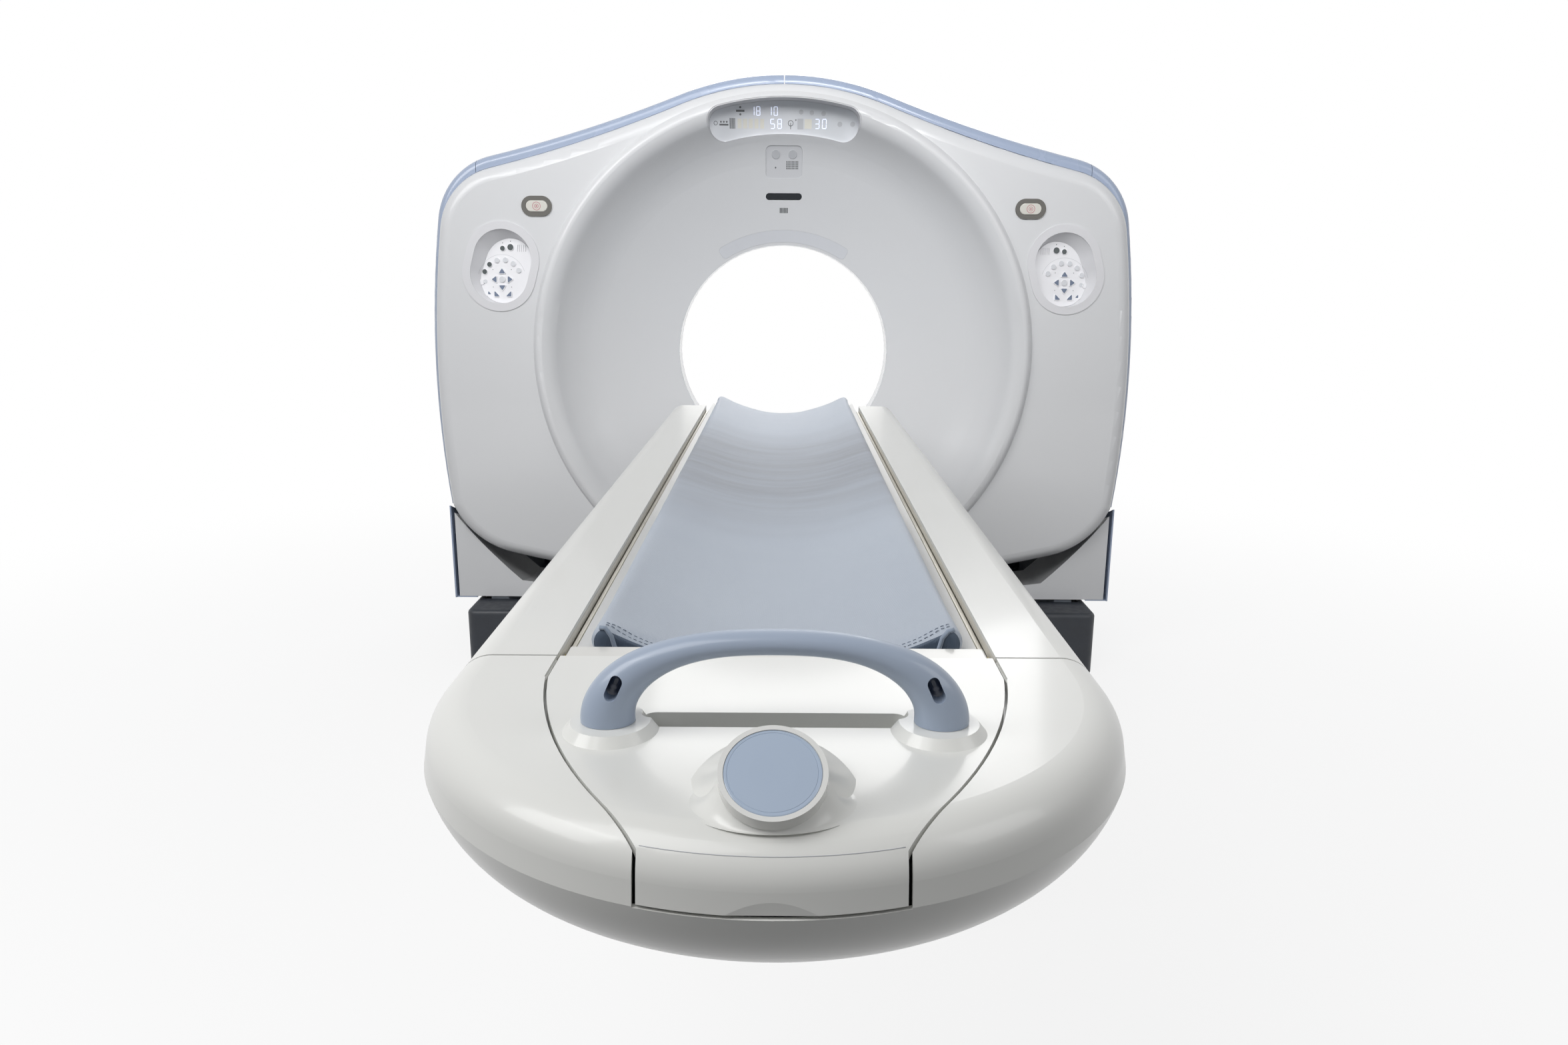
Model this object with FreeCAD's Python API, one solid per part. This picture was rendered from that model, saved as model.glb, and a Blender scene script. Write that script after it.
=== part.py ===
import FreeCAD, Part
import math
import os

# A whole-body CT scanner: a tilting gantry on a floor base, and a lifting patient table.
# Millimetres. +X is to the right seen from the foot of the table, +Y runs from the foot of
# the table through the bore, and +Z is up. The origin is on the floor under the isocentre,
# and the scan plane is Y = 0.

V = FreeCAD.Vector

# ---------------------------------------------------------------- driving dimensions

# Isocentre and bore
ISO_Z = 1035.0                # height of the bore axis and of the tilt axis
BORE_R = 350.0                # clear aperture
WINDOW_HALF = 44.9            # half width of the clear scan window along the bore
WINDOW_WALL = 3.0
RUN_GAP = 0.3                 # between neighbours that move past or lie against each other
FIT_GAP = 0.05                # radial running clearance of shafts
COVER_GAP = 3.0               # seam between neighbouring covers
COVER_WALL = 5.0

# Outer outline of the tilting body, seen along the bore (right half)
BODY_HALF = 1104.0            # half width at the hips
BODY_TOP_Z = ISO_Z + 851.0
HUMP_R = 900.0                # radius of the crown over the bore
HUMP_HALF = 320.0
SHOULDER_IN = (BODY_HALF - 189.0, BODY_TOP_Z - 241.0)
SHOULDER_OUT = (BODY_HALF - 16.0, BODY_TOP_Z - 428.0)
HIP = (BODY_HALF, ISO_Z - 495.0)
CHIN_OUT = (BODY_HALF - 204.0, ISO_Z - 659.0)
CHIN_MID_Z = ISO_Z - 765.0

# Outline of the white covers inside the coloured rim
RIM_TOP = 30.0                # width of the rim at the top
RIM_SIDE = 12.0               # and at the hip
FACE_SHOULDER_IN = (SHOULDER_IN[0] - 1.0, SHOULDER_IN[1] - 38.0)
FACE_SHOULDER_OUT = (SHOULDER_OUT[0] - 12.0, SHOULDER_OUT[1] - 28.0)

# Stations of the tilting body along the bore
FACE_Y = -264.0               # flat face of the front cover
FLANGE_Y = -190.0             # back edge of the front cover
RIM_FRONT_Y = -222.0          # front edge of the coloured rim
RIM_ROUND = 24.0
HIP_RADIUS = math.hypot(ISO_Z - HIP[1], RIM_FRONT_Y)    # of the sides' lower ends
FRONT_ROUND = 44.0            # soft outer edge of the front cover
REAR_FLANGE_Y = 410.0
REAR_FACE_Y = 480.0
REAR_ROUND = 40.0

# Ridge and dish of the front cover: radius from the bore axis, and distance in front of Y = 0
DISH_START = (350.0, 50.0)
DISH_START_HEADING = 17.0
DISH_KNEE = (600.0, 150.0)
DISH_WALL = (722.0, 258.0)
RIDGE_CREST = (762.0, 286.0)
RIDGE_SHOULDER = (786.0, 275.0)
RIDGE_FOOT = (806.0, 244.0)
DISH_SEAM_R = 530.0           # between the front cover and the dish's inner ring

# Rear flare of the bore
FLARE_END_R = 520.0
FLARE_START_HEADING = 6.0

# Lower edge of the rear cover
REAR_CHIN_MID_Z = ISO_Z - 640.0
REAR_CHIN_HALF = 600.0
REAR_HIP_IN_X = BODY_HALF - 224.0
REAR_HIP_Z = ISO_Z - 249.0

# Space swept by the tilting body: half width along the tilt axis, and radius
SWEEP_R = 836.0
SWEEP_CHEEK = (520.0, 825.0)
SWEEP_CORNER = (BODY_HALF - 224.0, 790.0)
SWEEP_JAW = (BODY_HALF - 90.0, 661.0)
SWEEP_END = (BODY_HALF + 36.0, 512.0)
REAR_SWEEP_OUT_R = 572.0

# Stationary lower housing
HOUSING_FRONT_Y = -212.0
HOUSING_SCOOP_END_Y = 50.0    # back edge of the scoop behind the chin
HOUSING_REAR_Y = 492.0
HOUSING_HALF = BODY_HALF - 8.0
HOUSING_REAR_TOP_Z = REAR_HIP_Z - 14.0
SIDE_PANEL_OUT = HOUSING_HALF + 14.0
SIDE_PANEL_WALL = 5.0
SIDE_PANEL_FOOT = 60.0

# Floor base
BASE_HALF = BODY_HALF - 65.0
BASE_FRONT_Y = -343.0
BASE_REAR_Y = 560.0
BASE_TOP_Z = ISO_Z - 828.0
HOUSING_BOTTOM_Z = BASE_TOP_Z + 10.0
BASE_ROUND = 30.0
BASE_EDGE_ROUND = 14.0
BASE_WALL = 6.0
FRAME_HALF = BODY_HALF - 104.0
FRAME_FRONT_Y = -300.0
FRAME_REAR_Y = 520.0
FRAME_TOP_Z = BASE_TOP_Z - 57.0
FRAME_RAIL = 150.0
FRAME_CROSS = 70.0            # width of the cross-members
FRAME_CROSS_TOP_Z = FRAME_TOP_Z - 40.0
HOUSING_POST_FRONT_Z = 250.0  # tops of the posts that carry the lower covers
HOUSING_POST_REAR_Z = 400.0
POST_OUT_X = FRAME_HALF - 10.0
POST_IN_X = POST_OUT_X - 120.0
ANCHOR_X = FRAME_HALF - 100.0
ANCHOR_FRONT_Y = -220.0
ANCHOR_REAR_Y = 440.0
ANCHOR_HOLE_R = 9.0
FRAME_PLATE = 20.0

# Side towers and trunnions
TOWER_OUT_X = BODY_HALF - 94.0
TOWER_IN_X = TOWER_OUT_X - 80.0
TOWER_HEAD_R = 118.0
TRUNNION_R = 55.0
BEARING_R = 85.0
ARM_OUT_X = TOWER_IN_X - 38.0
ARM_IN_X = ARM_OUT_X - 62.0
ARM_HALF_Z = 100.0
ARCH_LOW_Z = ISO_Z + 255.0    # lower ends of the arch that carries the covers

# Tilting frame and main bearing
PLATE_FRONT_Y = 245.0
PLATE_THICK = 40.0
PLATE_R = 790.0
PLATE_BORE_R = 502.0
PLATE_FLAT = 676.0            # from the bore axis down to the plate's flat foot
RACE_R = 500.0
RACE_THICK = 38.0
RACE_DEPTH = 50.0

# Rotor
ROTOR_R = 722.0
ROTOR_BORE_R = 395.0
ROTOR_FRONT_Y = 135.0
ROTOR_THICK = 38.0
FOCAL_R = 541.0
DETECTOR_REACH = 949.0        # from the focal spot to the detector's face
DETECTOR_THICK = 70.0
DETECTOR_HALF_ANGLE = 31.0
DETECTOR_HALF_Y = 90.0
MODULE_DEG = 82.0             # place of the generator and of the counterweight
MODULE_WIDTH = 300.0
MODULE_TALL = 210.0
TUBE_R = 95.0
TUBE_HALF = 150.0
BELT_R = 690.0
BELT_THICK = 6.0
BELT_WIDTH = 34.0
BELT_Y = 196.0
PULLEY_R = 60.0
PULLEY_X = BODY_HALF - 289.0
PULLEY_Z = ISO_Z + 417.0
MOTOR_R = 80.0
MOTOR_LENGTH = 150.0

# Control pods, emergency stops and fittings of the front cover
POD_X = BODY_HALF - 221.0
POD_Z = ISO_Z + 275.0
POD_W = 229.0
POD_H = 277.0
POD_LEAN = -16.0              # of the right pod: its top leans towards the bore
POD_RIM = 24.0
POD_DEPTH = 52.0              # of the bowl, whose upper outer wall slopes
POD_SLOPE = 22.0
POD_WALL = 3.0
POD_MID_DEPTH = 27.0          # of the floor under the keypad, at the pod's middle
POD_TILT_DEG = 8.4
PAD_THICK = 2.0
KEY_RISE = 3.0
KEY_CENTRE = (2.0, -40.0)     # middle of the direction keys, from the pod's middle
KEY_RING_R = 61.0             # circle of the round keys
KEY_R = 8.5
KEY_STEP_DEG = 26.0
STOP_X = BODY_HALF - 342.0
STOP_Z = ISO_Z + 457.0
STOP_W = 86.0
STOP_H = 53.0
STOP_RIM = 9.0
STOP_TRAVEL = 5.0
DISPLAY_IN_R = 676.0
DISPLAY_OUT_R = 778.0
DISPLAY_HALF_ANGLE = 18.5
PANEL_Z = ISO_Z + 601.0
PANEL_W = 115.0
PANEL_H = 94.0
SLOT_Z = ISO_Z + 500.0
SLOT_W = 116.0
SLOT_H = 21.0
LIGHT_COVER_OUT_R = 398.0
LIGHT_COVER_HALF_ANGLE = 33.0

# Patient table: cross-section of the side covers and of the foot, (half width, height)
TABLE_TOP_Z = ISO_Z - 130.0
TABLE_TOP_EDGE_X = 298.0
TABLE_SHOULDER = (TABLE_TOP_EDGE_X + 38.0, TABLE_TOP_Z - 33.0)
TABLE_CREASE = (TABLE_TOP_EDGE_X + 41.0, TABLE_TOP_Z - 52.0)
TABLE_KEEL = (TABLE_TOP_EDGE_X - 2.0, TABLE_TOP_Z - 117.0)
TABLE_BOTTOM = (TABLE_TOP_EDGE_X - 40.0, TABLE_TOP_Z - 143.0)
TABLE_CREASE_TURN = 24.0
TROUGH_HALF = 230.0
TABLE_WALL = 5.0
NOSE_Y = -3011.0
NOSE_AXIS_Y = NOSE_Y + TABLE_CREASE[0]
FOOT_SEAM_Y = -2624.0
TABLE_END_Y = -474.0

# Foot end of the cradle
CENTRE_HALF = 226.0
CENTRE_WIDE_Y = -2684.0
CENTRE_NECK = (98.0, -2984.0)
CENTRE_BACK_Y = -2586.0
CENTRE_TURN = 8.0
CENTRE_SKIRT = 12.0
LIP_DROP = 50.0
SEAM_LEDGE = 12.0             # white ledge that closes the seam round the centre cover
STRIP_TOP_Z = TABLE_TOP_Z - 4.0
STRIP_DEPTH = 36.0
HANDLE_Y = -2808.0
HANDLE_HALF = 146.0
HANDLE_FOOT_Z = TABLE_TOP_Z + 9.0
HANDLE_TOP_Z = TABLE_TOP_Z + 82.0
HANDLE_HOLE_Z = TABLE_TOP_Z + 45.0
POCKET_HALF = 123.0
POCKET_WIDTH = 40.0
POCKET_DEPTH = 38.0
BADGE_Y = -2950.0
BADGE_R = 41.0
BADGE_THICK = 12.0
BADGE_LEAN = 31.0
BADGE_LIFT = 24.0

# Cradle and pad
CRADLE_HALF = 221.0
CRADLE_EDGE_Z = TABLE_TOP_Z - 13.0
CRADLE_MID_Z = TABLE_TOP_Z - 63.0
CRADLE_THICK = 22.0
CRADLE_FRONT_Y = -2584.0
CRADLE_END_Y = -305.0
PAD_HALF = 211.0
PAD_CREST_X = 199.0
PAD_CREST_Z = TABLE_TOP_Z + 11.0
PAD_MID_Z = TABLE_TOP_Z - 38.0
PAD_FRONT_Y = -2566.0
PAD_END_Y = -312.0

# Table lift
LIFT_REST_DEG = 30.0
LIFT_PIVOT_Y = -1740.0
LIFT_PIVOT_Z = 190.0
LIFT_TOP_Z = TABLE_TOP_Z - 215.0    # upper pivots at rest
LIFT_ARM = (LIFT_TOP_Z - LIFT_PIVOT_Z) / math.sin(math.radians(LIFT_REST_DEG))
LIFT_REACH = LIFT_ARM * math.cos(math.radians(LIFT_REST_DEG))
ARM_THICK = 16.0
ARM_DEPTH = 46.0
PIN_R = 12.0
ROLLER_R = 18.0

ARM_IN_SIDE = 190.0           # inner face of the inner arm's bars
ARM_OUT_SIDE = 222.5          # outer face of the outer arm's bars
BRACKET_OUT_X = 234.0
TRACK_WALL_X = 240.0
LOW_TRACK_WALL_X = 224.0
TRACK_START_Y = LIFT_PIVOT_Y + LIFT_REACH - 126.0
TRACK_END_Y = LIFT_PIVOT_Y + LIFT_REACH + 162.0
BEAM_IN_X = 176.0
BEAM_OUT_X = 212.0
TABLE_ANCHOR_X = 140.0
TABLE_ANCHOR_FRONT_Y = -1400.0
TABLE_ANCHOR_REAR_Y = -1060.0

# Cradle belt
BELT_HALF = 15.0
BELT_ROUND = 10.0
BELT_FRONT_Y = -2840.0
BELT_REAR_Y = -570.0
GUIDE_X = 150.0
GUIDE_TOP_Z = TABLE_BOTTOM[1] + 34.0

# Pedestal covers
PED_FRONT_Y = -1800.0
PED_REAR_Y = TRACK_END_Y + 57.0
PED_HALF = 300.0
PED_WALL = 5.0
PED_STEP = 12.0
PED_LOW_TOP_Z = 325.0
PED_MID_Z = (236.0, 540.0)
PED_TOP_BOTTOM_Z = 460.0
PED_CORNER = 40.0
FLOOR_PLATE = 16.0


# ---------------------------------------------------------------- helpers

def box(x0, x1, y0, y1, z0, z1):
    """A block between two corners."""
    return Part.makeBox(x1 - x0, y1 - y0, z1 - z0, V(x0, y0, z0))


def cyl(radius, start, direction, length):
    """A round bar from a start point along a direction."""
    return Part.makeCylinder(radius, length, start, direction)


def bore_ring(r_out, r_in, y0, y1):
    """A ring about the bore axis."""
    start = V(0, y0, ISO_Z)
    along = V(0, 1, 0)
    return cyl(r_out, start, along, y1 - y0).cut(cyl(r_in, start, along, y1 - y0))


def mirror(shape):
    """The same shape on the other side of the table's centre plane."""
    return shape.mirror(V(0, 0, 0), V(1, 0, 0))


def fuse(first, *others):
    """One solid from shapes that meet."""
    return first.fuse(list(others)).removeSplitter()


def heading_of(start, end):
    """Direction from one plane point to another, in radians."""
    return math.atan2(end[1] - start[1], end[0] - start[0])


def chain(points, heading_deg, shifts=0.0):
    """Plane arcs through points, each tangent to the one before, moved to their left.

    Returns (start, middle, end) triples of plane points, and the last heading in degrees.
    """
    heading = math.radians(heading_deg)
    headings = [heading]
    for start, end in zip(points, points[1:]):
        heading = 2 * heading_of(start, end) - heading
        headings.append(heading)
    if isinstance(shifts, float):
        shifts = [shifts] * len(points)
    moved = []
    for (a, b), turn, shift in zip(points, headings, shifts):
        moved.append((a - shift * math.sin(turn), b + shift * math.cos(turn)))
    spans = []
    for start, end, turn in zip(moved, moved[1:], headings):
        middle = arc_middle(start, end, turn)
        spans.append((start, middle, end))
    return spans, math.degrees(heading)


def arc_middle(start, end, heading):
    """Middle of the arc that leaves start along heading and reaches end."""
    chord = heading_of(start, end)
    length = math.dist(start, end)
    rise = 0.5 * length * math.tan(0.5 * (chord - heading))
    across = 0.5 * (start[0] + end[0]) + rise * math.sin(chord)
    up = 0.5 * (start[1] + end[1]) - rise * math.cos(chord)
    return across, up


def edge_of(span, place):
    """A line or an arc in space from a (start, middle, end) triple."""
    start, middle, end = (place(*point) for point in span)
    straight = (start + end) * 0.5
    if (middle - straight).Length < 0.01:
        return Part.makeLine(start, end)
    return Part.Arc(start, middle, end).toShape()


def line(start, end, place):
    """A straight edge between two plane points."""
    return Part.makeLine(place(*start), place(*end))


def face_of(edges):
    """The flat face inside a closed set of edges."""
    return Part.Face(Part.Wire(Part.__sortEdges__(edges)))


def polygon(points, place):
    """The flat face inside straight lines through plane points."""
    corners = [place(*point) for point in points]
    return Part.Face(Part.makePolygon(corners + corners[:1]))


def upright(y):
    """Placer of (x, z) points on a plane square to the bore."""
    return lambda x, z: V(x, y, z)


def sideways(x):
    """Placer of (y, z) points on a plane square to the tilt axis."""
    return lambda y, z: V(x, y, z)


def level(z):
    """Placer of (x, y) points on a level plane."""
    return lambda x, y: V(x, y, z)


def bore_radial(radius, forward):
    """Placer of (radius, distance in front of Y = 0) points above the bore axis."""
    return V(0, -forward, ISO_Z + radius)


def spin_bore(face):
    """A full turn of a face about the bore axis."""
    return face.revolve(V(0, 0, ISO_Z), V(0, 1, 0), 360)


def spin_tilt(face):
    """A full turn of a face about the tilt axis."""
    return face.revolve(V(0, 0, ISO_Z), V(1, 0, 0), 360)


def mirrored_spans(spans):
    """Spans and their mirror images across the centre plane."""
    flipped = []
    for span in spans:
        flipped.append(tuple((-a, b) for a, b in reversed(span)))
    return spans + flipped


def prism(spans, y0, y1):
    """A block whose section square to the bore is bounded by closed spans."""
    edges = [edge_of(span, upright(y0)) for span in spans]
    return face_of(edges).extrude(V(0, y1 - y0, 0))


def round_edges(shape, radius, wanted):
    """Rounds the edges for which wanted(edge) is true."""
    edges = [edge for edge in shape.Edges if wanted(edge)]
    return shape.makeFillet(radius, edges)


def lies_at_y(y):
    """Test for an edge that lies wholly at one station along the bore."""
    def test(edge):
        bounds = edge.BoundBox
        return abs(bounds.YMin - y) < 0.01 and abs(bounds.YMax - y) < 0.01
    return test


def lies_at_z(z):
    """Test for an edge that lies wholly at one height."""
    def test(edge):
        bounds = edge.BoundBox
        return abs(bounds.ZMin - z) < 0.01 and abs(bounds.ZMax - z) < 0.01
    return test


def is_vertical(edge):
    """Test for an upright straight edge."""
    bounds = edge.BoundBox
    return bounds.XLength < 0.01 and bounds.YLength < 0.01


def oval_wire(width, height, centre, lean_deg=0.0):
    """Two half rounds joined by straight lines, square to the bore, leaning by an angle."""
    radius = 0.5 * min(width, height)
    half = 0.5 * max(width, height) - radius
    turn = math.radians(lean_deg + (90 if width > height else 0))
    along = V(math.sin(turn), 0, math.cos(turn))
    side = V(math.cos(turn), 0, -math.sin(turn)) * radius
    top = centre + along * half
    low = centre - along * half
    edges = [Part.Arc(top - side, top + along * radius, top + side).toShape(),
             Part.makeLine(top + side, low + side),
             Part.Arc(low + side, low - along * radius, low - side).toShape(),
             Part.makeLine(low - side, top - side)]
    return Part.Wire(edges)


def stadium(width, height, y0, y1, x, z, lean_deg=0.0):
    """A block with an oval section square to the bore, leaning by an angle."""
    outline = oval_wire(width, height, V(x, y0, z), lean_deg)
    return Part.Face(outline).extrude(V(0, y1 - y0, 0))


def ring_sector(r_in, r_out, half_deg, corner, y0, y1):
    """A block with an arched section above the bore, with rounded corners."""
    half = math.radians(half_deg)
    place = upright(y0)
    spans = []
    for radius, way in ((r_out, 1), (r_in, -1)):
        points = []
        for turn in (-half * way, 0.0, half * way):
            points.append((radius * math.sin(turn), ISO_Z + radius * math.cos(turn)))
        spans.append(tuple(points))
    edges = [edge_of(span, place) for span in spans]
    edges.append(line(spans[0][2], spans[1][0], place))
    edges.append(line(spans[1][2], spans[0][0], place))
    block = face_of(edges).extrude(V(0, y1 - y0, 0))
    along_bore = []
    for edge in block.Edges:
        bounds = edge.BoundBox
        if bounds.XLength < 0.01 and bounds.ZLength < 0.01:
            along_bore.append(edge)
    return block.makeFillet(corner, along_bore)


# ---------------------------------------------------------------- outlines of the gantry

def upper_points(top_z, radius, half, shoulder, hip):
    """Points that a crown, flank, shoulder and side pass through, from the top down."""
    drop = radius - math.sqrt(radius ** 2 - half ** 2)
    return [(0.0, top_z), (half, top_z - drop), *shoulder, hip]


def rim_spans(inset):
    """Outline of the coloured rim, from the top down to the hip."""
    points = upper_points(BODY_TOP_Z, HUMP_R, HUMP_HALF, (SHOULDER_IN, SHOULDER_OUT), HIP)
    return chain(points, 0.0, -inset)[0]


def face_spans(inset):
    """Outline of the white covers inside the rim, from the top down to the hip."""
    hip = (HIP[0] - RIM_SIDE, HIP[1])
    shoulder = (FACE_SHOULDER_IN, FACE_SHOULDER_OUT)
    points = upper_points(BODY_TOP_Z - RIM_TOP, HUMP_R - RIM_TOP, HUMP_HALF, shoulder, hip)
    return chain(points, 0.0, -inset)[0]


def chin_spans(hip, inset):
    """Underside of the front cover, from the centre out to the hip."""
    points = [(0.0, CHIN_MID_Z), CHIN_OUT]
    spans, heading = chain(points, 0.0, inset)
    corner = spans[-1][2]
    middle = arc_middle(corner, hip, math.radians(heading))
    return spans + [(corner, middle, hip)]


def front_outline(inset):
    """Outline of the front cover."""
    upper = face_spans(inset)
    hip = upper[-1][2]
    return mirrored_spans(upper + chin_spans(hip, inset))


def rear_outline(inset):
    """Outline of the rear cover, cut high at the sides to clear the towers."""
    upper = face_spans(inset)
    upper[-1] = cut_arc(upper[-1], REAR_HIP_Z + inset)
    corner = upper[-1][2]
    low_z = REAR_CHIN_MID_Z + inset
    lower = [(0.0, low_z), (REAR_CHIN_HALF, low_z)]
    spans = chain(lower, 0.0)[0]
    notch = (REAR_HIP_IN_X - inset, REAR_HIP_Z + inset)
    spans.append(straight(lower[-1], notch))
    spans.append(straight(notch, corner))
    return mirrored_spans(upper + spans)


def cut_arc(span, z):
    """The part of an arc that stands on the right and lies above a height."""
    circle = Part.Arc(*(V(point[0], 0, point[1]) for point in span)).toShape().Curve
    centre = circle.Center
    start = span[0]
    reach = circle.Radius
    points = []
    for height in (0.5 * (start[1] + z), z):
        points.append((centre.x + math.sqrt(reach ** 2 - (height - centre.z) ** 2), height))
    return start, points[0], points[1]


def straight(start, end):
    """A straight span."""
    return start, (0.5 * (start[0] + end[0]), 0.5 * (start[1] + end[1])), end


def sweep_space(gap):
    """The barrel that the front of the tilting body sweeps, made smaller by a gap."""
    place = lambda x, radius: V(x, 0, ISO_Z + radius - gap)
    edges = []
    for side in (-1, 1):
        cheek = [(0.0, SWEEP_R), SWEEP_CHEEK, SWEEP_CORNER]
        jaw = [SWEEP_CORNER, SWEEP_JAW, SWEEP_END]
        for arc in (cheek, jaw):
            points = [place(side * x, radius) for x, radius in arc]
            edges.append(Part.Arc(*points).toShape())
        edges.append(Part.makeLine(points[2], V(side * SWEEP_END[0], 0, ISO_Z)))
    edges.append(Part.makeLine(V(-SWEEP_END[0], 0, ISO_Z), V(SWEEP_END[0], 0, ISO_Z)))
    return spin_tilt(face_of(edges))


# ---------------------------------------------------------------- tilting body: covers

def dish_points():
    """Section of the dish and ridge."""
    return [DISH_START, DISH_KNEE, DISH_WALL, RIDGE_CREST, RIDGE_SHOULDER]


def dish_spans(inset):
    """Section of the dish and of the ridge's outer flank, moved behind its surface."""
    spans, heading = chain(dish_points(), DISH_START_HEADING, -inset)
    turn = math.radians(heading)
    foot = (RIDGE_FOOT[0] + inset * math.sin(turn), RIDGE_FOOT[1] - inset * math.cos(turn))
    spans.append(straight(spans[-1][2], foot))
    return spans


def ridge_disc(inset, back_y):
    """The round body of the dish, from the bore to the foot of the ridge."""
    spans = dish_spans(inset)
    back = -back_y
    start = spans[0][0]
    foot = spans[-1][2]
    edges = [edge_of(span, bore_radial) for span in spans]
    edges.append(line(foot, (foot[0], back), bore_radial))
    edges.append(line((foot[0], back), (start[0], back), bore_radial))
    edges.append(line((start[0], back), start, bore_radial))
    return spin_bore(face_of(edges))


def front_body(inset, back_y):
    """The front cover as a solid block, smaller by an inset."""
    spans = front_outline(inset)
    face_y = FACE_Y + inset
    slab = prism(spans, FLANGE_Y, face_y)
    slab = round_edges(slab, FRONT_ROUND - inset, lies_at_y(face_y))
    slab = slab.cut(cyl(RIDGE_CREST[0], V(0, FACE_Y - 50, ISO_Z), V(0, 1, 0), 300))
    disc = ridge_disc(inset, back_y)
    disc = disc.common(prism(spans, FACE_Y - 60, 200))
    return slab.fuse(disc)


def front_cover():
    """The moulded front cover: rounded face, ridge ring, outer dish, and openings."""
    back_y = 60.0
    outer = front_body(0.0, back_y)
    inner = front_body(COVER_WALL, back_y + 1)
    shell = outer.cut(inner)
    # behind the flange only the dish's own wall goes on, as a funnel
    behind = cyl(2 * BODY_TOP_Z, V(0, FLANGE_Y, ISO_Z), V(0, 1, 0), 300)
    shell = shell.cut(behind).fuse(dish_funnel()).removeSplitter().cut(dish_core())
    for opening in front_openings():
        shell = shell.cut(opening)
    return shell


def dish_core():
    """The room inside the seam between the front cover and the dish's inner ring."""
    return cyl(DISH_SEAM_R, V(0, FLANGE_Y, ISO_Z), V(0, 1, 0), -FLANGE_Y)


def dish_cover():
    """The inner ring of the dish, down to the scan window."""
    return dish_funnel().common(dish_core()).cut(light_space(0.0)).cut(slot_space(0.0))


def dish_funnel():
    """The part of the dish's wall that lies behind the flange of the front cover."""
    outer = dish_spans(0.0)[:2]
    inner = dish_spans(COVER_WALL)[:2]
    edges = [edge_of(span, bore_radial) for span in outer + inner]
    edges.append(line(outer[0][0], inner[0][0], bore_radial))
    edges.append(line(outer[-1][2], inner[-1][2], bore_radial))
    funnel = spin_bore(face_of(edges))
    front = cyl(2 * BODY_TOP_Z, V(0, FLANGE_Y - 200, ISO_Z), V(0, 1, 0), 200)
    return funnel.cut(front)


def pod_space(width, height, y0, y1, side, inset=0.0):
    """The oval of a control pod, its top leaning towards the bore."""
    shape = stadium(width - 2 * inset, height - 2 * inset, y0, y1, 0, 0, POD_LEAN)
    if side < 0:
        shape = mirror(shape)
    shape.translate(V(side * POD_X, 0, POD_Z))
    return shape


def front_openings():
    """Holes in the front cover for the pods, stops, display and button panel."""
    openings = []
    for side in (-1, 1):
        openings.append(pod_space(POD_W, POD_H, FACE_Y - 30, FACE_Y + 30, side, POD_RIM - 6))
        stop = stadium(STOP_W, STOP_H, FACE_Y - 30, FACE_Y + 30, side * STOP_X, STOP_Z)
        openings.append(stop)
    openings.append(display_space(0.0))
    openings.append(panel_space(0.0))
    return openings


def display_space(inset):
    """The arched opening of the display."""
    corner = 0.5 * (DISPLAY_OUT_R - DISPLAY_IN_R) - inset - 4
    half = DISPLAY_HALF_ANGLE - math.degrees(inset / DISPLAY_OUT_R)
    r_in = DISPLAY_IN_R + inset
    r_out = DISPLAY_OUT_R - inset
    return ring_sector(r_in, r_out, half, corner, FACE_Y - 40, FACE_Y + 90)


def light_space(inset):
    """The arched inlay over the bore."""
    half = LIGHT_COVER_HALF_ANGLE - math.degrees(inset / LIGHT_COVER_OUT_R)
    r_in = DISH_START[0] + 9 + inset
    r_out = LIGHT_COVER_OUT_R - inset
    return ring_sector(r_in, r_out, half, 12 - inset, FACE_Y, WINDOW_HALF)


def panel_space(inset):
    """The rounded opening of the small button panel."""
    width = PANEL_W - 2 * inset
    height = PANEL_H - 2 * inset
    block = box(-width / 2, width / 2, FACE_Y, 0, PANEL_Z - height / 2, PANEL_Z + height / 2)
    return block.makeFillet(16 - inset, along_y(block))


def slot_space(inset):
    """The slot of the alignment light."""
    return stadium(SLOT_W - 2 * inset, SLOT_H - 2 * inset, FACE_Y, 0, 0, SLOT_Z)


def along_y(shape):
    """Straight edges that run along the bore."""
    found = []
    for edge in shape.Edges:
        bounds = edge.BoundBox
        if bounds.XLength < 0.01 and bounds.ZLength < 0.01:
            found.append(edge)
    return found


def dish_skin(front, back, r_in, r_out):
    """A layer of the dish between two depths behind its surface."""
    outer = dish_spans(front)[:4]
    inner = dish_spans(back)[:4]
    edges = [edge_of(span, bore_radial) for span in outer + inner]
    edges.append(line(outer[0][0], inner[0][0], bore_radial))
    edges.append(line(outer[-1][2], inner[-1][2], bore_radial))
    layer = spin_bore(face_of(edges))
    return layer.common(bore_ring(r_out, r_in, FACE_Y - 60, 60))


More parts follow.
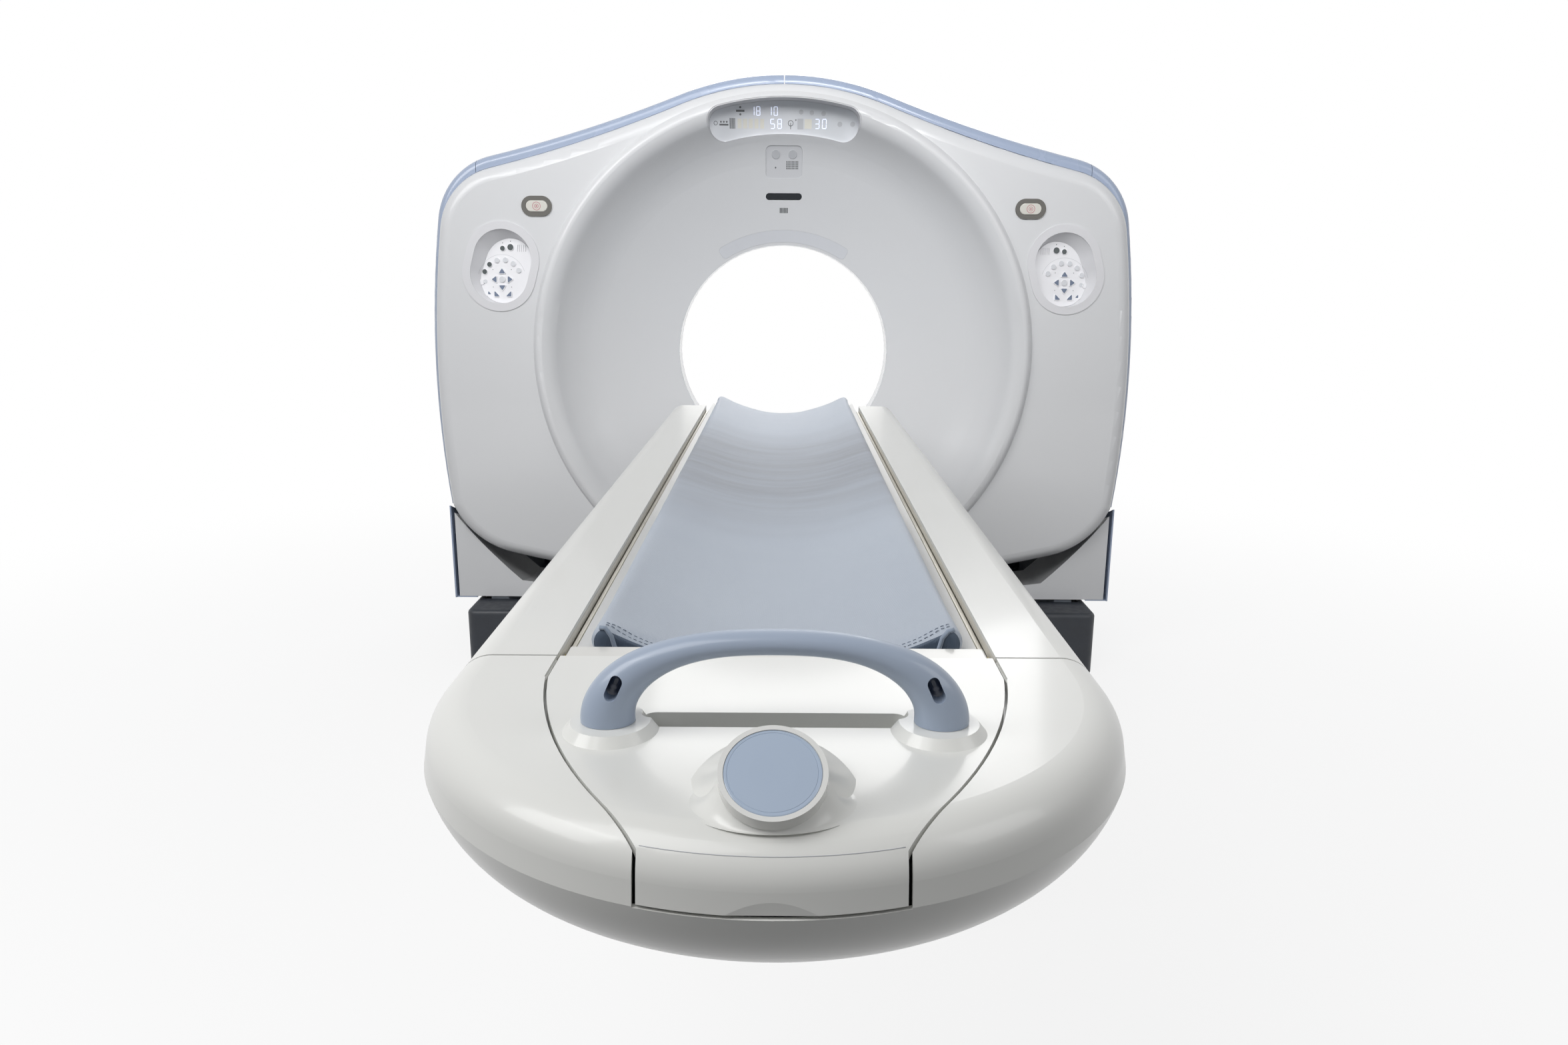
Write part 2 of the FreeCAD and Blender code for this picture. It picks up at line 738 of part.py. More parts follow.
def rim_shell():
    """The coloured band round the body, from front cover to rear cover."""
    upper = rim_spans(0.0)
    inner = rim_spans(COVER_WALL)
    hip = upper[-1][2]
    hip_in = inner[-1][2]
    outside = mirrored_spans(upper + [straight((0.0, HIP[1]), hip)])
    hollow = mirrored_spans(inner + [straight((0.0, HIP[1] - 20), (hip_in[0], HIP[1] - 20)),
                                     straight((hip_in[0], HIP[1] - 20), hip_in)])
    band = prism(outside, RIM_FRONT_Y, REAR_FLANGE_Y + 30)
    band = round_edges(band, RIM_ROUND, rim_edge(RIM_FRONT_Y))
    inside = prism(hollow, RIM_FRONT_Y + COVER_WALL, REAR_FLANGE_Y + 30)
    inside = round_edges(inside, RIM_ROUND - COVER_WALL, rim_edge(RIM_FRONT_Y + COVER_WALL))
    band = band.cut(inside)
    seat = front_outline(-1.0)
    band = band.cut(prism(seat, RIM_FRONT_Y - 40, FLANGE_Y + 40))
    sweep = cyl(HIP_RADIUS, V(-1200, 0, ISO_Z), V(1, 0, 0), 2400)
    upper_half = box(-1200, 1200, RIM_FRONT_Y - 1, REAR_FLANGE_Y + 40, ISO_Z, BODY_TOP_Z + 1)
    return band.common(sweep.fuse(upper_half))


def rim_edge(y):
    """Test for the front edges of the band, apart from the straight one across its foot."""
    at_front = lies_at_y(y)
    return lambda edge: at_front(edge) and edge.BoundBox.ZLength > 1


def rim_parts():
    """Two top covers and two side covers of the band."""
    band = rim_shell()
    seam_x = SHOULDER_IN[0] + 40
    half = 0.5 * COVER_GAP
    top = box(half, seam_x, -400, 600, ISO_Z, BODY_TOP_Z + 10)
    side = box(seam_x + half, 1200, -400, 600, 0, BODY_TOP_Z + 10)
    return band.common(top), band.common(side)


def rear_cover():
    """The rear cover with the flared end of the bore."""
    outer = rear_body(0.0)
    inner = rear_body(COVER_WALL)
    shell = outer.cut(inner)
    return shell.fuse(flare_funnel()).removeSplitter()


def rear_body(inset):
    """The rear cover as a solid block, smaller by an inset."""
    face_y = REAR_FACE_Y - inset
    slab = prism(rear_outline(inset), REAR_FLANGE_Y, face_y)
    slab = round_edges(slab, REAR_ROUND - inset, rear_rim_edge(face_y))
    opening = cyl(FLARE_END_R - 8 + inset, V(0, 0, ISO_Z), V(0, 1, 0), 700)
    return slab.cut(opening)


def rear_rim_edge(face_y):
    """Test for the outer edges of the rear face above the hip."""
    def test(edge):
        bounds = edge.BoundBox
        at_face = abs(bounds.YMin - face_y) < 0.01 and abs(bounds.YMax - face_y) < 0.01
        return at_face and bounds.ZMax > REAR_HIP_Z + 20
    return test


def flare_spans(inset):
    """Section of the rear flare."""
    start = (BORE_R, -WINDOW_HALF - RUN_GAP)
    end = (FLARE_END_R, -REAR_FACE_Y)
    heading = -90.0 + FLARE_START_HEADING
    return chain([start, end], heading, inset)[0]


def flare_funnel():
    """The bore behind the scan window, opening towards the rear."""
    outer = flare_spans(0.0)
    inner = flare_spans(COVER_WALL)
    edges = [edge_of(span, bore_radial) for span in outer + inner]
    edges.append(line(outer[0][0], inner[0][0], bore_radial))
    edges.append(line(outer[-1][2], inner[-1][2], bore_radial))
    funnel = spin_bore(face_of(edges))
    seam = cyl(FLARE_END_R, V(0, 0, ISO_Z), V(0, 1, 0), WINDOW_HALF + RUN_GAP)
    rim = bore_ring(FLARE_END_R + 4, FLARE_END_R - 8, REAR_FACE_Y - COVER_WALL, REAR_FACE_Y)
    return funnel.cut(seam).fuse(rim)


def scan_window():
    """The clear ring through which the beam passes."""
    return bore_ring(BORE_R + WINDOW_WALL, BORE_R, -WINDOW_HALF, WINDOW_HALF)


# ---------------------------------------------------------------- tilting body: fittings

def pod_bowl(growth):
    """The room of the right pod: its upper outer wall slopes, its lower inner wall is steep."""
    outlines = []
    for depth, slope in ((0.0, 0.0), (POD_DEPTH, POD_SLOPE)):
        inset = POD_RIM + slope - growth
        centre = V(POD_X - slope, FACE_Y + depth, POD_Z - slope)
        outlines.append(oval_wire(POD_W - 2 * inset, POD_H - 2 * inset, centre, POD_LEAN))
    bowl = Part.makeLoft(outlines, True, True)
    mouth = pod_space(POD_W, POD_H, FACE_Y - 10, FACE_Y, 1, POD_RIM - growth)
    return bowl.fuse(mouth)


def pod_floor(lift):
    """All that lies behind a plane above the right pod's sloping floor."""
    block = box(-POD_W, POD_W, -lift, POD_W, -POD_H, POD_H)
    return on_pod_floor(block)


def on_pod_floor(shape):
    """A shape laid from the plane Y = 0 onto the right pod's floor, deepest up and outward."""
    shape.rotate(V(0, 0, 0), V(1, 0, -1), -POD_TILT_DEG)
    shape.translate(V(POD_X, FACE_Y + POD_MID_DEPTH, POD_Z))
    return shape


def pod_tray(side):
    """A control pod: flat rim on the cover, and a bowl with a sloping floor."""
    flange = pod_space(POD_W, POD_H, FACE_Y - 3, FACE_Y - RUN_GAP, 1)
    behind_face = box(0, 2 * POD_X, FACE_Y - RUN_GAP, FACE_Y + POD_DEPTH, POD_Z - POD_H, POD_Z + POD_H)
    tub = pod_bowl(POD_WALL).common(behind_face).cut(pod_floor(-POD_WALL))
    tray = flange.fuse(tub).cut(pod_bowl(0.0).cut(pod_floor(0.0))).removeSplitter()
    return tray if side > 0 else mirror(tray)


def keypad(side):
    """The moulded keypad of one pod: a mat with direction keys, outer keys and lamps."""
    keys = [key_cap(KEY_R + 1.5, 0.0, 0.0)]
    for turn in (0, 90, 180, 270):
        keys.append(petal(turn))
    for step in range(6):
        turn = math.radians(23 + KEY_STEP_DEG * step)
        keys.append(key_cap(KEY_R, KEY_RING_R * math.cos(turn), KEY_RING_R * math.sin(turn)))
    turn = math.radians(23 - KEY_STEP_DEG - 4)
    keys.append(key_cap(KEY_R, (KEY_RING_R + 6) * math.cos(turn), (KEY_RING_R + 6) * math.sin(turn)))
    for x, z, radius in ((-3.3, 95.5, 8.5), (-28.9, 98.9, 10.5)):
        keys.append(key_cap(radius, x, z))
    for x, size in ((-20, -22.0), (17, 22.0), (56, 18.0)):
        keys.append(corner_key(x, -44.0, size))
    raised = Part.makeCompound(keys)
    raised.translate(V(KEY_CENTRE[0], 0, KEY_CENTRE[1]))
    room = pod_bowl(-1.0)
    mat = room.common(pod_floor(PAD_THICK + RUN_GAP)).cut(pod_floor(RUN_GAP)).cut(speaker_slots())
    pad = mat.fuse(list(on_pod_floor(raised).common(room).Solids)).removeSplitter()
    return pad if side > 0 else mirror(pad)


def key_top_y():
    """Station of the keys' tops in front of the floor."""
    return -(RUN_GAP + PAD_THICK + KEY_RISE)


def key_cap(radius, x, z):
    """A round key on the mat."""
    return cyl(radius, V(x, key_top_y(), z), V(0, 1, 0), KEY_RISE + 0.5 * PAD_THICK)


def triangle_key(corners):
    """A three-cornered key with rounded corners on the mat."""
    face = polygon(corners, upright(key_top_y()))
    key = face.extrude(V(0, KEY_RISE + 0.5 * PAD_THICK, 0))
    return key.makeFillet(3.0, along_y(key))


def petal(turn):
    """One direction key, pointing away from the middle key."""
    key = triangle_key([(-14.0, 16.5), (14.0, 16.5), (0.0, 37.5)])
    key.rotate(V(0, 0, 0), V(0, 1, 0), turn)
    return key


def corner_key(x, z, size):
    """A right-angled key, upright at its outer side."""
    half = 0.5 * size
    tall = 0.5 * abs(size)
    return triangle_key([(x - half, z - tall), (x + half, z - tall), (x + half, z + tall)])


def speaker_slots():
    """The fine upright slots in the mat, at its upper inner side."""
    slots = []
    for step in range(5):
        x = KEY_CENTRE[0] - 79.0 + 6.5 * step
        slots.append(box(x, x + 2.2, -10, 5, KEY_CENTRE[1] + 85, KEY_CENTRE[1] + 106))
    return on_pod_floor(Part.makeCompound(slots))


def stop_bezel(side):
    """The oval frame of an emergency stop."""
    x = side * STOP_X
    outer = stadium(STOP_W + 8, STOP_H + 8, FACE_Y - 4, FACE_Y - RUN_GAP, x, STOP_Z)
    sleeve = stadium(STOP_W - 1, STOP_H - 1, FACE_Y - RUN_GAP, FACE_Y + 24, x, STOP_Z)
    hole = stadium(STOP_W - 2 * STOP_RIM, STOP_H - 2 * STOP_RIM, FACE_Y - 9, FACE_Y + 20, x, STOP_Z)
    return outer.fuse(sleeve).cut(hole).removeSplitter()


def stop_button(side):
    """The oval pad that is pressed in an emergency."""
    x = side * STOP_X
    width = STOP_W - 2 * (STOP_RIM + RUN_GAP)
    height = STOP_H - 2 * (STOP_RIM + RUN_GAP)
    back = FACE_Y + 20 - STOP_TRAVEL - 1.0
    button = stadium(width, height, FACE_Y - 5, back, x, STOP_Z)
    return round_edges(button, 3.0, lies_at_y(FACE_Y - 5))


def display_housing():
    """The tray behind the display opening."""
    rim = ridge_disc(2.0, 60.0)
    tray = display_space(RUN_GAP).common(rim).common(display_plate(-200.0, 17.0, 0.0))
    room = display_space(3.3).common(display_plate(-200.0, 14.0, 0.0))
    return tray.cut(room)


def display_plate(front, back, inset):
    """A sloping layer of the display, measured behind a straight cone."""
    low = DISPLAY_IN_R - 10
    high = DISPLAY_OUT_R + 10
    slope = 0.30
    near = 196.0
    points = []
    for depth in (front, back):
        points.append((low, near - depth))
        points.append((high, near + slope * (high - low) - depth))
    ring = [points[0], points[1], points[3], points[2]]
    cone = spin_bore(polygon(ring, bore_radial))
    return cone.common(display_space(inset))


def display_lens():
    """The pale window of the display."""
    return display_plate(9.0, 13.7, 3.6)


def button_panel():
    """The small panel with a speaker grille and two buttons, under the display."""
    return panel_space(RUN_GAP).common(dish_skin(2.0, 8.0, 400, 700))


def light_slot():
    """The dark insert of the alignment light."""
    return slot_space(RUN_GAP).common(dish_skin(3.0, 9.0, 400, 700))


def light_cover():
    """The arched inlay over the bore that covers the alignment lights."""
    return light_space(RUN_GAP).common(dish_skin(0.0, 4.5, DISH_START[0], 500))


# ---------------------------------------------------------------- tilting body: frame

def tilt_frame():
    """The plate that carries the main bearing, with an arm to each trunnion."""
    plate = bore_ring(PLATE_R, PLATE_BORE_R, PLATE_FRONT_Y, PLATE_FRONT_Y + PLATE_THICK)
    low_cut = box(-PLATE_R, PLATE_R, PLATE_FRONT_Y, PLATE_FRONT_Y + PLATE_THICK, 0,
                  ISO_Z - PLATE_FLAT)
    plate = plate.cut(low_cut)
    parts = []
    for side in (-1, 1):
        outer = side * ARM_OUT_X
        inner = side * ARM_IN_X
        x0, x1 = sorted((outer, inner))
        low = ISO_Z - ARM_HALF_Z
        high = ISO_Z + ARM_HALF_Z
        parts.append(box(x0, x1, -80, PLATE_FRONT_Y + PLATE_THICK, low, high))
        reach = sorted((side * (PLATE_R - 60), outer))
        parts.append(box(reach[0], reach[1], PLATE_FRONT_Y, PLATE_FRONT_Y + PLATE_THICK,
                         low - 120, high + 120))
        parts.append(motor_shelf(side))
    frame = fuse(plate, cover_arch(), *(parts + cover_posts()))
    return frame.cut(cyl(26, V(PULLEY_X, 0, PULLEY_Z), V(0, 1, 0), 400))


def cover_arch():
    """The arch that carries the top and side covers."""
    y0 = PLATE_FRONT_Y
    y1 = PLATE_FRONT_Y + 24
    spans = []
    for inset in (COVER_WALL + RUN_GAP, 72.0):
        upper = rim_spans(inset)
        upper[-1] = cut_arc(upper[-1], ISO_Z)
        end = upper[-1][2]
        spans.append(prism(mirrored_spans(upper + [straight(end, (0.0, ISO_Z))]), y0, y1))
    arch = spans[0].cut(spans[1])
    low = box(-1200, 1200, y0 - 1, y1 + 1, 0, ARCH_LOW_Z)
    webs = []
    for side in (-1, 1):
        webs.append(side_box(side, PLATE_R - 90, BODY_HALF - 44, y0, y1, ARCH_LOW_Z, ARCH_LOW_Z + 50))
    return fuse(arch.cut(low), *webs)


def cover_posts():
    """Posts and brackets that carry the rear cover and the front cover."""
    posts = []
    back = PLATE_FRONT_Y + PLATE_THICK - 1
    for side in (-1, 1):
        for x, z in ((495, ISO_Z + 495), (500, ISO_Z - 475)):
            length = REAR_FACE_Y - COVER_WALL - RUN_GAP - back
            posts.append(cyl(18, V(side * x, back, z), V(0, 1, 0), length))
        posts.append(side_box(side, ARM_IN_X + 20, ARM_OUT_X - 12, FACE_Y + COVER_WALL + RUN_GAP,
                              -79, ISO_Z - 50, ISO_Z + 50))
    return posts


def motor_shelf(side):
    """A lug of the plate behind a shoulder, which carries the drive or its counterpart."""
    x0, x1 = sorted((side * (PLATE_R - 170), side * (PULLEY_X + MOTOR_R + 12)))
    y1 = PLATE_FRONT_Y + PLATE_THICK
    return box(x0, x1, PLATE_FRONT_Y, y1, PULLEY_Z - 130, PULLEY_Z + 60)


def trunnion(side):
    """The stub shaft pressed into an arm and turning in a tower."""
    start = V(side * ARM_IN_X, 0, ISO_Z)
    length = TOWER_OUT_X - ARM_IN_X + 6
    shaft = cyl(TRUNNION_R, start, V(side, 0, 0), length)
    flange = cyl(TRUNNION_R + 30, V(side * ARM_OUT_X, 0, ISO_Z), V(side, 0, 0), 12)
    return shaft.fuse(flange).removeSplitter()


def bearing_race():
    """The fixed ring of the main bearing, bolted to the plate."""
    y0 = PLATE_FRONT_Y - RACE_DEPTH
    return bore_ring(RACE_R + RACE_THICK, RACE_R + RUN_GAP, y0, PLATE_FRONT_Y)


def drive_motor():
    """The rotor drive motor on its lug."""
    y0 = PLATE_FRONT_Y + PLATE_THICK
    body = cyl(MOTOR_R, V(PULLEY_X, y0, PULLEY_Z), V(0, 1, 0), MOTOR_LENGTH - 30)
    flange = cyl(MOTOR_R + 8, V(PULLEY_X, y0, PULLEY_Z), V(0, 1, 0), 10)
    return body.fuse(flange).removeSplitter()


def belt_outline(growth):
    """Outline of the belt round the rotor drum and the motor pulley."""
    big = BELT_R + growth
    small = PULLEY_R + growth
    reach = math.hypot(PULLEY_X, PULLEY_Z - ISO_Z)
    axis = math.atan2(PULLEY_Z - ISO_Z, PULLEY_X)
    lap = math.acos((big - small) / reach)
    spots = []
    for side in (1, -1):
        turn = axis + side * lap
        far = (big * math.cos(turn), ISO_Z + big * math.sin(turn))
        near = (PULLEY_X + small * math.cos(turn), PULLEY_Z + small * math.sin(turn))
        spots.append((far, near))
    back = axis + math.pi
    wide = (big * math.cos(back), ISO_Z + big * math.sin(back))
    tip = (PULLEY_X + small * math.cos(axis), PULLEY_Z + small * math.sin(axis))
    (far_a, near_a), (far_b, near_b) = spots
    return [(far_a, wide, far_b), straight(far_b, near_b), (near_b, tip, near_a),
            straight(near_a, far_a)]


def drive_belt():
    """The flat belt, just clear of the drum and of the pulley."""
    y0 = BELT_Y - BELT_WIDTH / 2
    y1 = BELT_Y + BELT_WIDTH / 2
    outer = prism(belt_outline(RUN_GAP + BELT_THICK), y0, y1)
    return outer.cut(prism(belt_outline(RUN_GAP), y0, y1))


def motor_pulley():
    """The pulley on the motor's shaft, in front of the plate."""
    y0 = BELT_Y - BELT_WIDTH / 2 - 2
    wheel = cyl(PULLEY_R, V(PULLEY_X, y0, PULLEY_Z), V(0, 1, 0), BELT_WIDTH + 4)
    reach = PLATE_FRONT_Y + PLATE_THICK - y0 - RUN_GAP
    shaft = cyl(16, V(PULLEY_X, y0, PULLEY_Z), V(0, 1, 0), reach)
    return wheel.fuse(shaft).removeSplitter()


# ---------------------------------------------------------------- rotor

def rotor_ring():
    """The rotating drum: front plate, belt rim, and hub inside the main bearing."""
    plate = bore_ring(ROTOR_R, ROTOR_BORE_R, ROTOR_FRONT_Y, ROTOR_FRONT_Y + ROTOR_THICK)
    back = ROTOR_FRONT_Y + ROTOR_THICK
    rim = bore_ring(BELT_R, BELT_R - 24, back, BELT_Y + BELT_WIDTH / 2 + 6)
    hub = bore_ring(RACE_R, RACE_R - 30, back, PLATE_FRONT_Y + PLATE_THICK - 2)
    window = cyl(62, V(0, ROTOR_FRONT_Y - 1, ISO_Z + 560), V(0, 1, 0), ROTOR_THICK + 2)
    ring = fuse(plate, rim, hub)
    for turn in range(45, 360, 45):
        hole = window.copy()
        hole.rotate(V(0, 0, ISO_Z), V(0, 1, 0), turn)
        ring = ring.cut(hole)
    return ring


def tube_housing():
    """The X-ray tube: a round housing over its target, with a foot on the drum."""
    z = ISO_Z + FOCAL_R + 62
    shell = cyl(TUBE_R, V(-TUBE_HALF, 10, z), V(1, 0, 0), 2 * TUBE_HALF)
    port = box(-50, 50, -40, 60, z - TUBE_R - 6, z - TUBE_R + 30)
    foot = box(-110, 110, 60, ROTOR_FRONT_Y, z - 70, z + 70)
    return fuse(shell, port, foot)


def collimator():
    """The beam-shaping box between the tube and the bore."""
    z1 = ISO_Z + FOCAL_R + 62 - TUBE_R - 6
    body = box(-120, 120, -45, ROTOR_FRONT_Y, ISO_Z + ROTOR_BORE_R + 22, z1)
    slot = box(-90, 90, -18, 18, ISO_Z + ROTOR_BORE_R, z1 + 1)
    return body.cut(slot)


def detector():
    """The curved detector opposite the tube, centred on the focal spot."""
    reach = DETECTOR_REACH
    half = math.radians(DETECTOR_HALF_ANGLE)
    focus = V(0, 0, ISO_Z + FOCAL_R)
    y0 = -DETECTOR_HALF_Y / 2
    y1 = ROTOR_FRONT_Y
    ring = cyl(reach + DETECTOR_THICK, V(0, y0, focus.z), V(0, 1, 0), y1 - y0)
    ring = ring.cut(cyl(reach, V(0, y0, focus.z), V(0, 1, 0), y1 - y0))
    depth = 1.2 * (reach + DETECTOR_THICK)
    fan = [(0, focus.z), (depth * math.sin(half), focus.z - depth * math.cos(half)),
           (-depth * math.sin(half), focus.z - depth * math.cos(half))]
    return ring.common(polygon(fan, upright(y0)).extrude(V(0, y1 - y0, 0)))


def rotor_box(angle_deg, width, tall, y0):
    """A module bolted to the drum's front plate at an angle about the bore."""
    mid = 0.5 * (ROTOR_R + ROTOR_BORE_R) + 12
    body = box(-width / 2, width / 2, y0, ROTOR_FRONT_Y, ISO_Z + mid - tall / 2,
               ISO_Z + mid + tall / 2)
    body = body.makeFillet(14, along_y(body))
    body.rotate(V(0, 0, ISO_Z), V(0, 1, 0), angle_deg)
    return body


def slip_ring():
    """The slip ring that carries power and data to the drum."""
    y0 = PLATE_FRONT_Y + PLATE_THICK + 8
    drum = bore_ring(RACE_R - 2, RACE_R - 26, PLATE_FRONT_Y + PLATE_THICK - 2, y0 + 70)
    for step in range(4):
        y = y0 + 10 + 14 * step
        drum = drum.cut(bore_ring(RACE_R, RACE_R - 6, y, y + 7))
    return drum


def brush_block():
    """The fixed brushes beside the slip ring."""
    y0 = PLATE_FRONT_Y + PLATE_THICK
    return box(-90, 90, y0, y0 + 86, ISO_Z + RACE_R + 2, ISO_Z + RACE_R + 70)


# ---------------------------------------------------------------- stationary gantry base

def base_cover():
    """The dark plinth on the floor, hollow, with a long opening round each tower."""
    block = box(-BASE_HALF, BASE_HALF, BASE_FRONT_Y, BASE_REAR_Y, 0, BASE_TOP_Z)
    block = round_edges(block, BASE_ROUND, is_vertical)
    block = round_edges(block, BASE_EDGE_ROUND, lies_at_z(BASE_TOP_Z))
    wall = BASE_WALL
    hollow = box(-BASE_HALF + wall, BASE_HALF - wall, BASE_FRONT_Y + wall,
                 BASE_REAR_Y - wall, -1, BASE_TOP_Z - wall)
    hollow = round_edges(hollow, BASE_ROUND - wall, is_vertical)
    cover = block.cut(hollow)
    for side in (-1, 1):
        cover = cover.cut(side_box(side, POST_IN_X - COVER_GAP, TOWER_OUT_X + COVER_GAP,
                                   HOUSING_FRONT_Y + 4, HOUSING_REAR_Y - RUN_GAP,
                                   BASE_TOP_Z - 40, BASE_TOP_Z + 20))
    return cover


def base_frame():
    """The welded floor frame: two side sills, three cross-members and a floor plate."""
    sills = []
    for side in (-1, 1):
        x0, x1 = sorted((side * (FRAME_HALF - FRAME_RAIL), side * FRAME_HALF))
        sills.append(box(x0, x1, FRAME_FRONT_Y, FRAME_REAR_Y, 0, FRAME_TOP_Z))
    crosses = []
    for y in (FRAME_FRONT_Y, -0.5 * FRAME_CROSS, FRAME_REAR_Y - FRAME_CROSS):
        crosses.append(box(-POST_OUT_X, POST_OUT_X, y, y + FRAME_CROSS, 0, FRAME_CROSS_TOP_Z))
    for side in (-1, 1):
        crosses.append(side_box(side, POST_IN_X, POST_OUT_X, HOUSING_FRONT_Y + COVER_WALL + RUN_GAP,
                                -150, FRAME_TOP_Z - 10, HOUSING_POST_FRONT_Z))
        crosses.append(side_box(side, POST_IN_X, POST_OUT_X, 440, HOUSING_REAR_Y - RUN_GAP,
                                FRAME_TOP_Z - 10, HOUSING_POST_REAR_Z))
    frame = fuse(sills[0], sills[1], *crosses)
    for x in (-ANCHOR_X, ANCHOR_X):
        for y in (ANCHOR_FRONT_Y, ANCHOR_REAR_Y):
            frame = frame.cut(cyl(ANCHOR_HOLE_R, V(x, y, -1), V(0, 0, 1), 400))
            frame = frame.cut(cyl(34, V(x, y, FRAME_PLATE), V(0, 0, 1), 400))
    return frame


def lower_front():
    """The white lower cover: wings at the sides, scooped behind the chin."""
    lower = [straight((0.0, HOUSING_BOTTOM_Z), (HOUSING_HALF, HOUSING_BOTTOM_Z)),
             straight((HOUSING_HALF, HOUSING_BOTTOM_Z), (HOUSING_HALF, HIP[1])),
             straight((HOUSING_HALF, HIP[1]), (0.0, HIP[1]))]
    block = prism(mirrored_spans(lower), HOUSING_FRONT_Y, HOUSING_SCOOP_END_Y)
    wall = COVER_WALL
    hollow = box(-HOUSING_HALF + wall, HOUSING_HALF - wall, HOUSING_FRONT_Y + wall,
                 HOUSING_SCOOP_END_Y + 1, HOUSING_BOTTOM_Z - 1, HIP[1] + 1)
    hollow = hollow.cut(sweep_space(-wall))
    return block.cut(hollow).cut(sweep_space(0.0))


def lower_rear():
    """The rear lower cover, high at the sides round the towers."""
    low = (HOUSING_HALF, HOUSING_BOTTOM_Z)
    high = (HOUSING_HALF, HOUSING_REAR_TOP_Z)
    notch = (REAR_HIP_IN_X, HOUSING_REAR_TOP_Z)
    step = (REAR_CHIN_HALF, REAR_CHIN_MID_Z - 14)
    spans = [straight((0.0, HOUSING_BOTTOM_Z), low), straight(low, high),
             straight(high, notch), straight(notch, step), straight(step, (0.0, step[1]))]
    y0 = HOUSING_REAR_Y - 60
    block = prism(mirrored_spans(spans), y0, HOUSING_REAR_Y + COVER_WALL)
    inner = box(-HOUSING_HALF + COVER_WALL, HOUSING_HALF - COVER_WALL, y0 - 1,
                HOUSING_REAR_Y, HOUSING_BOTTOM_Z - 1, HOUSING_REAR_TOP_Z + 10)
    flange = block.cut(inner)
    # room for the rear of the tilting body between the side returns
    return flange.cut(cyl(REAR_SWEEP_OUT_R, V(-1300, 0, ISO_Z), V(1, 0, 0), 2600))


def lower_side():
    """A coloured lower side panel, hollowed on top round the tilt axis."""
    x0 = SIDE_PANEL_OUT - SIDE_PANEL_WALL
    y0 = HOUSING_FRONT_Y - 4
    y1 = HOUSING_REAR_Y + COVER_WALL
    plate = box(x0, SIDE_PANEL_OUT, y0, y1, HOUSING_BOTTOM_Z - 4, HOUSING_REAR_TOP_Z)
    foot = box(HOUSING_HALF - SIDE_PANEL_FOOT, x0, y0 + 4, y1, HOUSING_BOTTOM_Z - 4,
               HOUSING_BOTTOM_Z - RUN_GAP)
    panel = plate.fuse(foot)
    panel = panel.cut(cyl(HIP_RADIUS + 4, V(x0 - 1, 0, ISO_Z), V(1, 0, 0), SIDE_PANEL_WALL + 2))
    return panel.removeSplitter()


def tower(side):
    """A side tower, narrow where the covers swing past, with a bearing head."""
    points = [(50, FRAME_TOP_Z), (340, FRAME_TOP_Z), (330, 330), (205, 540), (110, ISO_Z),
              (-118, ISO_Z), (-105, 900), (-55, 795), (168, 440), (168, 330), (60, 300)]
    x0 = TOWER_IN_X if side > 0 else -TOWER_OUT_X
    width = TOWER_OUT_X - TOWER_IN_X
    web = polygon(points, sideways(x0)).extrude(V(width, 0, 0))
    head = cyl(TOWER_HEAD_R, V(x0, 0, ISO_Z), V(1, 0, 0), width)
    post = fuse(web, head)
    pocket = polygon([(120, 640), (160, 580), (110, 860), (0, 880)], sideways(x0 + 16))
    post = post.cut(pocket.extrude(V(width, 0, 0)))
    return post.cut(cyl(BEARING_R, V(x0 - 1, 0, ISO_Z), V(1, 0, 0), width + 2))


def trunnion_bearing(side):
    """The spherical bearing in a tower's head."""
    x0 = TOWER_IN_X if side > 0 else -TOWER_OUT_X
    width = TOWER_OUT_X - TOWER_IN_X
    ring = cyl(BEARING_R, V(x0, 0, ISO_Z), V(1, 0, 0), width)
    return ring.cut(cyl(TRUNNION_R + FIT_GAP, V(x0 - 1, 0, ISO_Z), V(1, 0, 0), width + 2))


def tilt_drive():
    """The tilt gearmotor on the outside of the right tower, on the trunnion's end."""
    x0 = TOWER_OUT_X + 8
    gear = cyl(96, V(TOWER_OUT_X, 0, ISO_Z), V(1, 0, 0), 58)
    motor = cyl(40, V(x0 + 34, 0, ISO_Z - 60), V(0, 0.2, -1), 240)
    hole = cyl(TRUNNION_R + FIT_GAP, V(TOWER_OUT_X - 1, 0, ISO_Z), V(1, 0, 0), 30)
    return fuse(gear, motor).cut(hole)


# ---------------------------------------------------------------- patient table: covers

def table_section(inset, start_x):
    """Half section of the table's outer skin, from its top inner edge to its bottom."""
    top = [(start_x, TABLE_TOP_Z), (TABLE_TOP_EDGE_X, TABLE_TOP_Z), TABLE_SHOULDER, TABLE_CREASE]
    upper, heading = chain(top, 0.0, -inset)
    under = [TABLE_CREASE, TABLE_KEEL, TABLE_BOTTOM]
    lower = chain(under, heading - TABLE_CREASE_TURN, -inset)[0]
    join = upper[-1][2]
    lower[0] = (join, lower[0][1], lower[0][2])
    end = lower[-1][2]
    lower.append(straight(end, (start_x, end[1])))
    return upper + lower


def table_band(start_x, place):
    """The skin's section face: outer line, inner line, and their ends."""
    outer = table_section(0.0, start_x)
    inner = table_section(TABLE_WALL, start_x)
    edges = [edge_of(span, place) for span in outer + inner]
    edges.append(line(outer[0][0], inner[0][0], place))
    edges.append(line(outer[-1][2], inner[-1][2], place))
    return face_of(edges)


